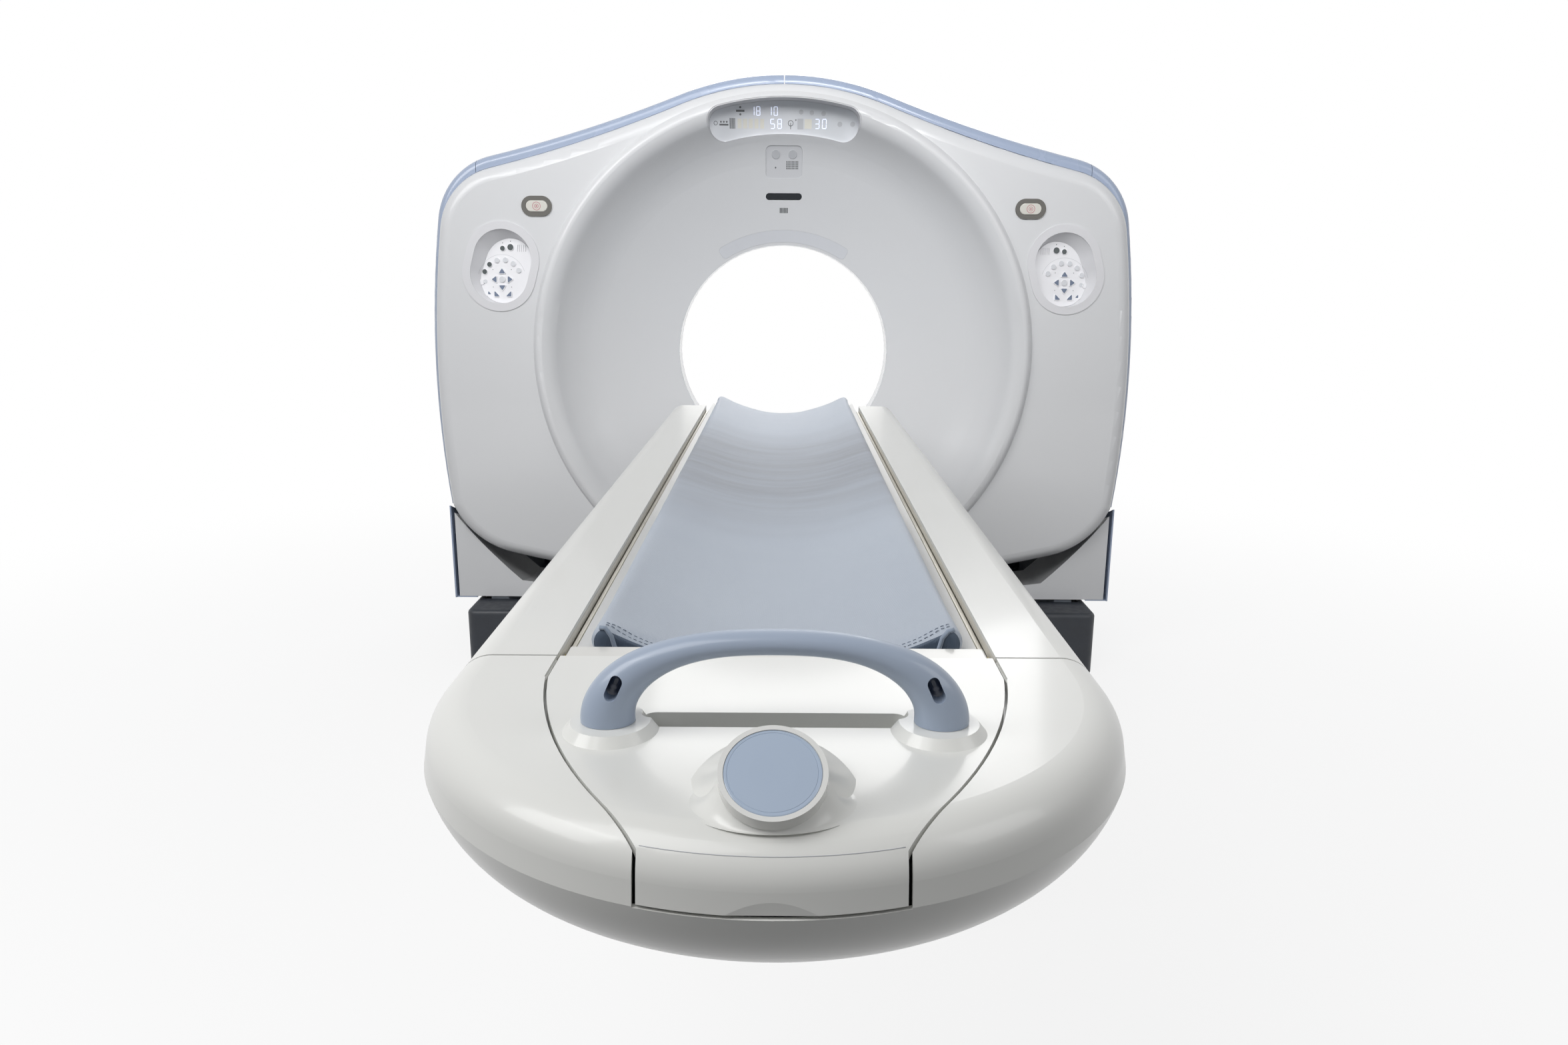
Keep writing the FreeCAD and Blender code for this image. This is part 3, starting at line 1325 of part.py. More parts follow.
def rail_cover():
    """The long side cover of the table, a C-shaped moulding."""
    band = table_band(TROUGH_HALF, upright(FOOT_SEAM_Y + 0.5 * COVER_GAP))
    length = TABLE_END_Y - FOOT_SEAM_Y - 0.5 * COVER_GAP
    cover = band.extrude(V(0, length, 0))
    end = TABLE_END_Y
    cap_edges = [edge_of(span, upright(end - TABLE_WALL)) for span in table_section(0.0, TROUGH_HALF)]
    first = table_section(0.0, TROUGH_HALF)
    cap_edges.append(line(first[-1][2], first[0][0], upright(end - TABLE_WALL)))
    cap = face_of(cap_edges).extrude(V(0, TABLE_WALL, 0))
    return cover.fuse(cap).removeSplitter()


def foot_cover():
    """The rounded foot of the table, open where the cradle's own cover lies."""
    place = lambda x, z: V(x, NOSE_AXIS_Y, z)
    outer = table_section(0.0, 0.0)
    inner = table_section(TABLE_WALL, 0.0)
    solid = foot_solid(outer, place)
    hollow = foot_solid(inner, place)
    shell = solid.cut(hollow)
    opening = centre_outline_prism(-COVER_GAP, TABLE_TOP_Z - 40, TABLE_TOP_Z + 30)
    wide = box(-TROUGH_HALF, TROUGH_HALF, CENTRE_WIDE_Y, FOOT_SEAM_Y + 10, TABLE_TOP_Z - 40,
               TABLE_TOP_Z + 30)
    half = CENTRE_NECK[0] + COVER_GAP
    lip = box(-half, half, NOSE_Y - 30, CENTRE_NECK[1] + 40, TABLE_TOP_Z - LIP_DROP - COVER_GAP,
              TABLE_TOP_Z + 30)
    shell = shell.cut(opening).cut(wide).cut(lip)
    return shell.fuse(seam_ledge().common(solid)).removeSplitter()


def seam_ledge():
    """The wall and ledge that close the seam round the centre cover from below."""
    z0 = TABLE_TOP_Z - CENTRE_SKIRT - 8
    z1 = TABLE_TOP_Z - CENTRE_SKIRT - COVER_GAP
    wall = centre_outline_prism(-2 * COVER_GAP, z0, TABLE_TOP_Z - TABLE_WALL + 1)
    wall = wall.cut(centre_outline_prism(-COVER_GAP, z0 - 1, TABLE_TOP_Z))
    ledge = centre_outline_prism(-COVER_GAP - 1, z0, z1)
    ledge = ledge.cut(centre_outline_prism(SEAM_LEDGE, z0 - 1, z1 + 1))
    half = CENTRE_NECK[0] + COVER_GAP
    ledge = ledge.cut(box(-half, half, NOSE_Y, FOOT_SEAM_Y, z0 - 1, z1 + 1))
    flat = box(-2 * TROUGH_HALF, 2 * TROUGH_HALF, CENTRE_NECK[1] + 8, FOOT_SEAM_Y - COVER_GAP,
               z0, TABLE_TOP_Z)
    return wall.fuse(ledge).common(flat)


def foot_solid(section, place):
    """A round nose from a half turn of the section, run back to the seam."""
    first = section[0][0]
    last = section[-1][2]
    edges = [edge_of(span, place) for span in section]
    edges.append(line(last, first, place))
    face = face_of(edges)
    nose = face.revolve(V(0, NOSE_AXIS_Y, 0), V(0, 0, 1), -180)
    back = FOOT_SEAM_Y - 0.5 * COVER_GAP - NOSE_AXIS_Y
    right = face.extrude(V(0, back, 0))
    left = mirror(right)
    return fuse(nose, right, left)


def centre_spans(inset):
    """Right side of the cradle's foot cover in plan, from the back to the nose."""
    back = (CENTRE_HALF - inset, CENTRE_BACK_Y)
    wide = (CENTRE_HALF - inset, CENTRE_WIDE_Y)
    neck = (CENTRE_NECK[0] - inset, CENTRE_NECK[1])
    middle = arc_middle(wide, neck, math.radians(-90 - CENTRE_TURN))
    tip = (CENTRE_NECK[0] - inset, NOSE_Y + 2)
    return [straight((0.0, CENTRE_BACK_Y), back), straight(back, wide), (wide, middle, neck),
            straight(neck, tip), straight(tip, (0.0, tip[1]))]


def centre_outline_prism(inset, z0, z1):
    """A block with the plan outline of the cradle's foot cover."""
    edges = [edge_of(span, level(z0)) for span in mirrored_spans(centre_spans(inset))]
    return face_of(edges).extrude(V(0, 0, z1 - z0))


def centre_cover():
    """The cover at the cradle's foot: plate with skirt, lip, bosses and finger recess."""
    place = lambda x, z: V(x, NOSE_AXIS_Y, z)
    foot = foot_solid(table_section(0.0, 0.0), place)
    hollow = foot_solid(table_section(TABLE_WALL, 0.0), place)
    plan = centre_outline_prism(0.0, TABLE_TOP_Z - LIP_DROP, TABLE_TOP_Z + 30)
    shell = foot.cut(hollow).common(plan)
    skirt = centre_outline_prism(0.0, TABLE_TOP_Z - CENTRE_SKIRT, TABLE_TOP_Z)
    skirt = skirt.cut(centre_outline_prism(TABLE_WALL, TABLE_TOP_Z - 40, TABLE_TOP_Z + 1))
    plate = centre_outline_prism(0.0, TABLE_TOP_Z - TABLE_WALL, TABLE_TOP_Z)
    plate = plate.common(foot)
    skirt = skirt.common(foot)
    bosses = []
    for side in (-1, 1):
        foot_at = V(side * (HANDLE_HALF - 2), HANDLE_Y, TABLE_TOP_Z - 1)
        boss = Part.makeCone(43, 35, HANDLE_FOOT_Z - TABLE_TOP_Z - RUN_GAP + 1, foot_at)
        bosses.append(boss.common(centre_outline_prism(0.5, TABLE_TOP_Z - 1, HANDLE_TOP_Z)))
    bosses.append(badge_boss())
    cover = fuse(plate, shell, skirt, *bosses)
    tray = pocket_block(0.0, POCKET_DEPTH).cut(pocket_block(4.0, POCKET_DEPTH - 4.0))
    return cover.cut(pocket_block(3.9, TABLE_WALL + 1)).fuse(tray).removeSplitter()


def pocket_block(inset, depth):
    """The finger pocket behind the handle."""
    half_x = POCKET_HALF - inset
    y0 = HANDLE_Y + 2 + inset
    y1 = HANDLE_Y + 2 + POCKET_WIDTH - inset
    top = TABLE_TOP_Z + (0.0 if inset == 0.0 else 10.0)
    block = box(-half_x, half_x, y0, y1, TABLE_TOP_Z - depth, top)
    return round_edges(block, 16 - inset, is_vertical)


def badge_axis():
    """Direction that the badge faces."""
    lean = math.radians(BADGE_LEAN)
    return V(0, -math.sin(lean), math.cos(lean))


def badge_boss():
    """The raised seat of the badge."""
    start = V(0, BADGE_Y, TABLE_TOP_Z + BADGE_LIFT) - badge_axis() * 46
    cone = Part.makeCone(72, BADGE_R - 6, 46 - RUN_GAP, start, badge_axis())
    above = box(-100, 100, BADGE_Y - 120, BADGE_Y + 120, TABLE_TOP_Z - 3, TABLE_TOP_Z + 90)
    return cone.common(above)


def badge():
    """The plain round badge."""
    start = V(0, BADGE_Y, TABLE_TOP_Z + BADGE_LIFT)
    disc = Part.makeCylinder(BADGE_R, BADGE_THICK, start, badge_axis())
    ring = Part.makeCylinder(BADGE_R - 4, 3, start + badge_axis() * (BADGE_THICK - 1.2),
                             badge_axis())
    return disc.cut(ring)


def handle():
    """The arched pull handle, wide at its feet, each foot with an oval hole."""
    rise = HANDLE_TOP_Z - HANDLE_FOOT_Z
    rings = []
    stations = 11
    for step in range(stations):
        turn = math.pi * step / (stations - 1)
        level_part = math.cos(turn)
        spread = abs(level_part) ** 3
        x = -math.copysign(HANDLE_HALF * abs(level_part) ** 0.8, level_part)
        slope = V(HANDLE_HALF * math.sin(turn), 0, rise * level_part)
        slope.normalize()
        across = V(0, 1, 0)
        outward = slope.cross(across)
        centre = V(x, HANDLE_Y, HANDLE_FOOT_Z + rise * math.sin(turn))
        rings.append(ring_wire(centre, outward, across, 11.0 + 13.0 * spread, 15.0 + 6.0 * spread))
    arch = Part.makeLoft(rings, True, False)
    for side in (-1, 1):
        at = V(side * (HANDLE_HALF - 8), HANDLE_Y - 50, HANDLE_HOLE_Z)
        hole = Part.Face(oval_wire(11.0, 23.0, at, -24.0 * side)).extrude(V(0, 100, 0))
        arch = arch.cut(hole)
    return arch


def ring_wire(centre, first, second, a, b):
    """A smooth closed curve round a centre, with two half widths."""
    points = []
    for step in range(12):
        turn = 2 * math.pi * step / 12
        points.append(centre + first * (a * math.cos(turn)) + second * (b * math.sin(turn)))
    curve = Part.BSplineCurve()
    curve.interpolate(points, PeriodicFlag=True)
    return Part.Wire([curve.toShape()])


# ---------------------------------------------------------------- patient table: cradle

def cradle():
    """The curved cradle that carries the patient."""
    top = ((-CRADLE_HALF, CRADLE_EDGE_Z), (0.0, CRADLE_MID_Z), (CRADLE_HALF, CRADLE_EDGE_Z))
    low = ((CRADLE_HALF, CRADLE_EDGE_Z - 14), (0.0, CRADLE_MID_Z - CRADLE_THICK),
           (-CRADLE_HALF, CRADLE_EDGE_Z - 14))
    place = upright(CRADLE_FRONT_Y)
    edges = [edge_of(top, place), edge_of(low, place)]
    edges.append(line(top[2], low[0], place))
    edges.append(line(low[2], top[0], place))
    return face_of(edges).extrude(V(0, CRADLE_END_Y - CRADLE_FRONT_Y, 0))


def pad():
    """The mattress: concave, with round crests along its sides."""
    gap = 0.5
    rise = CRADLE_EDGE_Z - CRADLE_MID_Z
    under_edge = CRADLE_MID_Z + rise * (PAD_HALF / CRADLE_HALF) ** 2 + gap
    side_z = 0.5 * (under_edge + PAD_CREST_Z) + 3
    under = ((PAD_HALF - 6, under_edge), (0.0, CRADLE_MID_Z + gap), (-PAD_HALF + 6, under_edge))
    top = ((-PAD_CREST_X + 8, PAD_CREST_Z - 2), (0.0, PAD_MID_Z), (PAD_CREST_X - 8, PAD_CREST_Z - 2))
    right = (top[2], (PAD_HALF, side_z), under[0])
    left = (under[2], (-PAD_HALF, side_z), top[0])
    place = upright(PAD_FRONT_Y)
    edges = [edge_of(span, place) for span in (under, top, right, left)]
    block = face_of(edges).extrude(V(0, PAD_END_Y - PAD_FRONT_Y, 0))
    return block


def end_strip():
    """The cross bar at the cradle's foot end, with a finger hole."""
    y0 = CRADLE_FRONT_Y - STRIP_DEPTH
    low = CRADLE_MID_Z - CRADLE_THICK
    bar = box(-CENTRE_HALF + 2, CENTRE_HALF - 2, y0, CRADLE_FRONT_Y - RUN_GAP,
              STRIP_TOP_Z - 8, STRIP_TOP_Z)
    bar = bar.makeFillet(3, [edge for edge in bar.Edges if lies_at_z(STRIP_TOP_Z)(edge)])
    web = box(-150, 150, y0 + 8, CRADLE_FRONT_Y - RUN_GAP, low, STRIP_TOP_Z - 8)
    hole = stadium_z(26, 9, STRIP_TOP_Z - 6, STRIP_TOP_Z + 5, 0, y0 + STRIP_DEPTH / 2)
    return fuse(bar, web).cut(hole)


def stadium_z(length, width, z0, z1, x, y):
    """An upright block with an oval plan."""
    radius = width / 2
    half = length / 2 - radius
    parts = [Part.makeCylinder(radius, z1 - z0, V(x + side * half, y, z0)) for side in (-1, 1)]
    return fuse(box(x - half, x + half, y - radius, y + radius, z0, z1), *parts)


def carriage():
    """The carriage under the cradle's foot, on the two guide rails."""
    z0 = GUIDE_TOP_Z + RUN_GAP
    top = CRADLE_MID_Z - CRADLE_THICK - RUN_GAP
    plate = box(-160, 160, CENTRE_BACK_Y - 340, CENTRE_BACK_Y + 150, z0 + 8, z0 + 14)
    blocks = []
    for x in (-GUIDE_X, GUIDE_X):
        for y in (CENTRE_BACK_Y - 300, CENTRE_BACK_Y + 60):
            blocks.append(box(x - 24, x + 24, y, y + 70, z0, z0 + 9))
    posts = box(-100, 100, CENTRE_BACK_Y - 330, CENTRE_BACK_Y - 250, z0 + 12,
                TABLE_TOP_Z - TABLE_WALL - RUN_GAP)
    clamp = box(-BELT_HALF, BELT_HALF, CENTRE_BACK_Y - 200, CENTRE_BACK_Y - 120, z0, z0 + 10)
    riser = box(-120, 120, CRADLE_FRONT_Y - STRIP_DEPTH + 8, CENTRE_BACK_Y + 150, z0 + 12, top)
    return fuse(plate, posts, clamp, riser, *blocks)


def guide_rails():
    """Two round-edged guide rails along the table frame."""
    rails = []
    for x in (-GUIDE_X, GUIDE_X):
        rails.append(box(x - 12, x + 12, NOSE_AXIS_Y - 186, TABLE_END_Y - 20,
                         TABLE_BOTTOM[1] + 10, GUIDE_TOP_Z))
    return rails


def trough_rail():
    """The edge profile along the trough: foot flange, thin web and rounded bead."""
    x1 = TROUGH_HALF - RUN_GAP
    x0 = CRADLE_HALF + COVER_GAP
    top = TABLE_TOP_Z - CENTRE_SKIRT - COVER_GAP
    foot = TABLE_BOTTOM[1] + 10 + RUN_GAP
    profile = [(x0, foot), (x1 + 15, foot), (x1 + 15, foot + 6), (x1, foot + 6), (x1, top - 2),
               (x1 - 2, top), (x0 - 0.5, top), (x0 - 2, top - 2), (x0 - 2, top - 8), (x0, top - 10)]
    start = FOOT_SEAM_Y + 6
    return polygon(profile, upright(start)).extrude(V(0, TABLE_END_Y - 8 - start, 0))


def table_frame():
    """The steel frame inside the table top: pan, beams, cross-members and lift fittings."""
    low = TABLE_BOTTOM[1] + TABLE_WALL + RUN_GAP
    under = TABLE_BOTTOM[1] - 30
    parts = []
    for side in (-1, 1):
        parts.append(side_box(side, BEAM_IN_X, BEAM_OUT_X, LIFT_PIVOT_Y - 28, PED_REAR_Y - 32,
                              under, low))
        parts.append(side_box(side, ARM_IN_SIDE - 11, ARM_IN_SIDE - 0.5, LIFT_PIVOT_Y - 30,
                              LIFT_PIVOT_Y + 30, LIFT_TOP_Z - 26, under + 10))
        parts.append(side_box(side, TROUGH_HALF - 5, TROUGH_HALF - 1, TRACK_START_Y, TRACK_END_Y,
                              LIFT_TOP_Z + ROLLER_R + RUN_GAP, low))
        parts.append(roller_track(side, ARM_OUT_SIDE + 1, TRACK_WALL_X, LIFT_TOP_Z))
    for y in (LIFT_PIVOT_Y - 28, -1330.0, PED_REAR_Y - 82):
        parts.append(box(-BEAM_IN_X, BEAM_IN_X, y, y + 50, under + 6, low))
    pan = box(-246, 246, NOSE_AXIS_Y, TABLE_END_Y - 8, low, TABLE_BOTTOM[1] + 10)
    nose = Part.makeCylinder(246, TABLE_BOTTOM[1] + 10 - low, V(0, NOSE_AXIS_Y, low))
    frame = fuse(pan, nose, *parts)
    hole = cyl(PIN_R + FIT_GAP, V(-300, LIFT_PIVOT_Y, LIFT_TOP_Z), V(1, 0, 0), 600)
    return frame.cut(hole)


def side_box(side, x0, x1, y0, y1, z0, z1):
    """A block on one side of the centre plane, between two distances from it."""
    low, high = sorted((side * x0, side * x1))
    return box(low, high, y0, y1, z0, z1)


def roller_track(side, x0, wall_x, z):
    """A channel for a roller, open towards the arms."""
    half = ROLLER_R + RUN_GAP
    outer = side_box(side, x0, wall_x + 4, TRACK_START_Y, TRACK_END_Y, z - half - 4, z + half + 4)
    inner = side_box(side, x0 - 1, wall_x, TRACK_START_Y - 1, TRACK_END_Y + 1, z - half, z + half)
    return outer.cut(inner)


# ---------------------------------------------------------------- patient table: lift

def arm_plates(side_x, bore):
    """Two like flat bars with round ends, one at each side, and the tubes between them."""
    bars = []
    for side in (-1, 1):
        x0, x1 = sorted((side * side_x, side * (side_x + ARM_THICK)))
        flat = box(x0, x1, 0, LIFT_ARM, -ARM_DEPTH / 2, ARM_DEPTH / 2)
        ends = []
        for y in (0, LIFT_ARM):
            ends.append(cyl(ARM_DEPTH / 2, V(x0, y, 0), V(1, 0, 0), ARM_THICK))
        bar = fuse(flat, *ends)
        if bore > 0:
            bar = bar.cut(cyl(bore, V(x0 - 1, LIFT_ARM / 2, 0), V(1, 0, 0), ARM_THICK + 2))
        bars.append(bar)
    for place in (0.25 * LIFT_ARM, 0.75 * LIFT_ARM):
        bars.append(cyl(10, V(-side_x - 1, place, 0), V(1, 0, 0), 2 * side_x + 2))
    return bars


def lean_arm(parts, foot_y, angle_deg):
    """Parts built along Y, fused and leant about a pivot over the floor."""
    arm = fuse(parts[0], *parts[1:])
    arm.rotate(V(0, 0, 0), V(1, 0, 0), angle_deg)
    arm.translate(V(0, foot_y, LIFT_PIVOT_Z))
    return arm


def cross_axle(y, half):
    """An axle across both bars of an arm."""
    return cyl(PIN_R, V(-half, y, 0), V(1, 0, 0), 2 * half)


def arm_rollers(y, x0, x1):
    """A roller at each end of an axle."""
    rollers = []
    for side in (-1, 1):
        low = min(side * x0, side * x1)
        rollers.append(cyl(ROLLER_R, V(low, y, 0), V(1, 0, 0), x1 - x0))
    return rollers


def arm_outer():
    """The outer scissor arm, on the fixed floor pivot."""
    parts = arm_plates(ARM_OUT_SIDE - ARM_THICK, 0)
    parts.append(cross_axle(0, BRACKET_OUT_X - 1))
    parts.append(cross_axle(LIFT_ARM, ARM_OUT_SIDE + 3))
    parts += arm_rollers(LIFT_ARM, ARM_OUT_SIDE + 1.5, TRACK_WALL_X - 1)
    for side in (-1, 1):
        x0 = min(side * (ARM_IN_SIDE - 2), side * ARM_OUT_SIDE)
        parts.append(cyl(PIN_R, V(x0, LIFT_ARM / 2, 0), V(1, 0, 0), ARM_OUT_SIDE - ARM_IN_SIDE + 2))
    return lean_arm(parts, LIFT_PIVOT_Y, LIFT_REST_DEG)


def arm_inner():
    """The inner scissor arm, on the fixed pivot of the table frame."""
    parts = arm_plates(ARM_IN_SIDE, PIN_R + FIT_GAP)
    parts.append(cross_axle(LIFT_ARM, ARM_IN_SIDE + 2))
    parts.append(cross_axle(0, ARM_IN_SIDE + ARM_THICK + 2))
    parts += arm_rollers(0, ARM_IN_SIDE + ARM_THICK + 1.5, LOW_TRACK_WALL_X - 1)
    return lean_arm(parts, LIFT_PIVOT_Y + LIFT_REACH, 180 - LIFT_REST_DEG)


def table_base():
    """The floor plate of the table with the lift's lower pivots and roller tracks."""
    parts = []
    for side in (-1, 1):
        parts.append(side_box(side, ARM_OUT_SIDE + 0.5, BRACKET_OUT_X, LIFT_PIVOT_Y - 26,
                              LIFT_PIVOT_Y + 60, 0, LIFT_PIVOT_Z + 24))
        parts.append(roller_track(side, ARM_IN_SIDE + ARM_THICK + 1, LOW_TRACK_WALL_X,
                                  LIFT_PIVOT_Z))
        parts.append(side_box(side, ARM_IN_SIDE + ARM_THICK + 6, LOW_TRACK_WALL_X + 4,
                              TRACK_START_Y, TRACK_END_Y, 0, LIFT_PIVOT_Z - ROLLER_R - 2))
    inset = PED_WALL + 7
    plate = rounded_block(PED_HALF - inset, PED_FRONT_Y + inset, PED_REAR_Y - inset, 0, FLOOR_PLATE,
                          PED_CORNER - inset)
    base = fuse(plate, *parts)
    base = base.cut(cyl(PIN_R + FIT_GAP, V(-300, LIFT_PIVOT_Y, LIFT_PIVOT_Z), V(1, 0, 0), 600))
    for x in (-TABLE_ANCHOR_X, TABLE_ANCHOR_X):
        for y in (TABLE_ANCHOR_FRONT_Y, TABLE_ANCHOR_REAR_Y):
            base = base.cut(cyl(ANCHOR_HOLE_R, V(x, y, -1), V(0, 0, 1), 30))
    return base


def lift_gearmotor():
    """The gearmotor whose hollow shaft drives the outer arm's axle."""
    x_half = 58.0
    gear = box(-x_half, x_half, LIFT_PIVOT_Y - 27, LIFT_PIVOT_Y + 90, 120, LIFT_PIVOT_Z + 48)
    gear = gear.makeFillet(10, gear.Edges)
    foot = box(-48, 48, LIFT_PIVOT_Y - 20, LIFT_PIVOT_Y + 60, FLOOR_PLATE, LIFT_PIVOT_Z - 30)
    motor = cyl(42, V(0, LIFT_PIVOT_Y, 92), V(0, 1, 0), 300)
    return fuse(gear, foot, motor).cut(cyl(PIN_R + FIT_GAP, V(-80, LIFT_PIVOT_Y, LIFT_PIVOT_Z),
                                           V(1, 0, 0), 160))


def pedestal_sleeve(step, z0, z1):
    """One of the nested covers round the lift."""
    shift = step * PED_STEP
    outer = rounded_block(PED_HALF - shift, PED_FRONT_Y + shift, PED_REAR_Y - shift, z0, z1,
                          PED_CORNER - 0.5 * shift)
    deep = shift + PED_WALL
    inner = rounded_block(PED_HALF - deep, PED_FRONT_Y + deep, PED_REAR_Y - deep, z0 - 1, z1 + 1,
                          PED_CORNER - 0.5 * shift - PED_WALL)
    sleeve = outer.cut(inner)
    if step == 0:
        return sleeve
    glides = []
    reach = PED_HALF - shift + PED_STEP - PED_WALL - RUN_GAP
    for side in (-1, 1):
        for y in (PED_FRONT_Y + 150, PED_REAR_Y - 230):
            glides.append(side_box(side, PED_HALF - shift - 1, reach, y, y + 80, z0, z0 + 18))
    return fuse(sleeve, *glides)


def rounded_block(half_x, y0, y1, z0, z1, corner):
    """An upright block with rounded corners."""
    return round_edges(box(-half_x, half_x, y0, y1, z0, z1), corner, is_vertical)


def floor_link():
    """The low cover on the floor between the table and the gantry."""
    block = box(-190, 190, PED_REAR_Y + RUN_GAP, BASE_FRONT_Y - RUN_GAP, 0, 42)
    return round_edges(block, 8, lies_at_z(42))


# ---------------------------------------------------------------- patient table: cradle drive

def cradle_belt():
    """The flat drive belt of the cradle, laid round its two pulleys."""
    z = GUIDE_TOP_Z - BELT_ROUND - RUN_GAP
    outer = belt_loop(BELT_ROUND, z, -BELT_HALF)
    return outer.cut(belt_loop(BELT_ROUND - 2, z, -BELT_HALF))


def belt_loop(radius, z, x0):
    """A flat oval block along the table."""
    ends = [cyl(radius, V(x0, y, z), V(1, 0, 0), -2 * x0) for y in (BELT_FRONT_Y, BELT_REAR_Y)]
    return fuse(box(x0, -x0, BELT_FRONT_Y, BELT_REAR_Y, z - radius, z + radius), *ends)


def belt_pulleys():
    """The belt's two pulleys with their bearing cheeks."""
    z = GUIDE_TOP_Z - BELT_ROUND - RUN_GAP
    pan_top = TABLE_BOTTOM[1] + 10
    parts = []
    for y in (BELT_FRONT_Y, BELT_REAR_Y):
        wheel = cyl(BELT_ROUND - 2 - RUN_GAP, V(-BELT_HALF - 6, y, z), V(1, 0, 0), 2 * BELT_HALF + 12)
        cheeks = []
        for side in (-1, 1):
            cheeks.append(side_box(side, BELT_HALF + 2, BELT_HALF + 8, y - 14, y + 14,
                                   pan_top + 0.2, z + 6))
        parts.append(fuse(wheel, *cheeks))
    return parts


def slide_pads():
    """The low-friction pad at the gantry end of the table, hollowed to the cradle."""
    block = box(-90, 90, TABLE_END_Y - 60, TABLE_END_Y - 20, TABLE_BOTTOM[1] + 10, CRADLE_EDGE_Z)
    low = ((CRADLE_HALF, CRADLE_EDGE_Z - 14), (0.0, CRADLE_MID_Z - CRADLE_THICK),
           (-CRADLE_HALF, CRADLE_EDGE_Z - 14))
    place = upright(TABLE_END_Y - 70)
    lowered = tuple((a, b - RUN_GAP) for a, b in low)
    space = face_of([edge_of(lowered, place), line(lowered[0], (CRADLE_HALF, TABLE_TOP_Z), place),
                     line((CRADLE_HALF, TABLE_TOP_Z), (-CRADLE_HALF, TABLE_TOP_Z), place),
                     line((-CRADLE_HALF, TABLE_TOP_Z), lowered[2], place)])
    return block.cut(space.extrude(V(0, 70, 0)))


# ---------------------------------------------------------------- writing the nodes

def nodes():
    """Every sub-part by name."""
    top_cover, side_cover = rim_parts()
    side_lower = lower_side()
    rail = rail_cover()
    edge_rail = trough_rail()
    parts = {
        "base_cover": base_cover(),
        "base_frame": fuse(base_frame(), tower(-1), tower(1)),
        "lower_front_cover": lower_front(),
        "lower_rear_cover": lower_rear(),
        "lower_side_right": side_lower,
        "lower_side_left": mirror(side_lower),
        "tilt_drive": tilt_drive(),
        "front_cover": front_cover(),
        "dish_cover": dish_cover(),
        "rear_cover": rear_cover(),
        "top_cover_right": top_cover,
        "top_cover_left": mirror(top_cover),
        "side_cover_right": side_cover,
        "side_cover_left": mirror(side_cover),
        "scan_window": scan_window(),
        "display_housing": display_housing(),
        "display_lens": display_lens(),
        "button_panel": button_panel(),
        "light_slot": light_slot(),
        "light_cover": light_cover(),
        "tilt_frame": fuse(tilt_frame(), brush_block(), trunnion(-1), trunnion(1)),
        "bearing_race": bearing_race(),
        "drive_motor": drive_motor(),
        "drive_belt": drive_belt(),
        "motor_pulley": motor_pulley(),
        "rotor_ring": rotor_ring(),
        "tube_housing": tube_housing(),
        "collimator": collimator(),
        "detector": detector(),
        "generator": rotor_box(MODULE_DEG, MODULE_WIDTH, MODULE_TALL, -40),
        "counterweight": rotor_box(-MODULE_DEG, MODULE_WIDTH, MODULE_TALL, 10),
        "slip_ring": slip_ring(),
        "rail_cover_right": rail,
        "rail_cover_left": mirror(rail),
        "foot_cover": foot_cover(),
        "centre_cover": centre_cover(),
        "badge": badge(),
        "handle": handle(),
        "cradle": cradle(),
        "pad": pad(),
        "end_strip": end_strip(),
        "carriage": carriage(),
        "edge_rails": Part.makeCompound([edge_rail, mirror(edge_rail)]),
        "table_frame": fuse(table_frame(), slide_pads(), *guide_rails()),
        "cradle_drive": Part.makeCompound([cradle_belt(), *belt_pulleys()]),
        "table_base": table_base(),
        "lift_gearmotor": lift_gearmotor(),
        "arm_outer": arm_outer(),
        "arm_inner": arm_inner(),
        "table_cover_lower": pedestal_sleeve(0, 0.0, PED_LOW_TOP_Z),
        "table_cover_middle": pedestal_sleeve(1, PED_MID_Z[0], PED_MID_Z[1]),
        "table_cover_upper": pedestal_sleeve(2, PED_TOP_BOTTOM_Z, TABLE_BOTTOM[1] - RUN_GAP),
        "floor_link": floor_link(),
    }
    for side, name in ((-1, "left"), (1, "right")):
        parts["keypad_" + name] = keypad(side)
        parts["stop_button_" + name] = stop_button(side)
    for name, build in (("trunnion_bearings", trunnion_bearing), ("pod_trays", pod_tray),
                        ("stop_bezels", stop_bezel)):
        parts[name] = Part.makeCompound([build(-1), build(1)])
    return parts


def main():
    """Writes each sub-part to its own file."""
    os.makedirs("parts", exist_ok=True)
    for name, shape in nodes().items():
        shape.exportStep("parts/" + name + ".step")


main()
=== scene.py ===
import math

import bmesh
import bpy
from mathutils import Matrix, Vector, noise
from mathutils.bvhtree import BVHTree


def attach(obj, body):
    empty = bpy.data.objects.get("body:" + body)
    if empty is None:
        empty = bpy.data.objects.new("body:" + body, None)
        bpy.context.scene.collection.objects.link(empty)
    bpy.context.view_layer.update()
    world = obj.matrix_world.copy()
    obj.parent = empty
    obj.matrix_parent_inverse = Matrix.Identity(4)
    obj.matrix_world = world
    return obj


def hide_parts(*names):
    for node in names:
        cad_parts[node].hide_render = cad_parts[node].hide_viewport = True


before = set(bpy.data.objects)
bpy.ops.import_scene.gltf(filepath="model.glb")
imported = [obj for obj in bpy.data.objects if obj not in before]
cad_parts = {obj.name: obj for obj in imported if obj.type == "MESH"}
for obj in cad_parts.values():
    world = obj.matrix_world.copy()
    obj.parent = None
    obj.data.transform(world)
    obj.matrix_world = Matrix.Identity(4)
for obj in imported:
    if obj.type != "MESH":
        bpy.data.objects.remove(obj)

# Places and sizes are in metres, in the frame's axes: x across the table, y along the bore
# away from the viewer, z up. A place given for the right side is mirrored for the left.

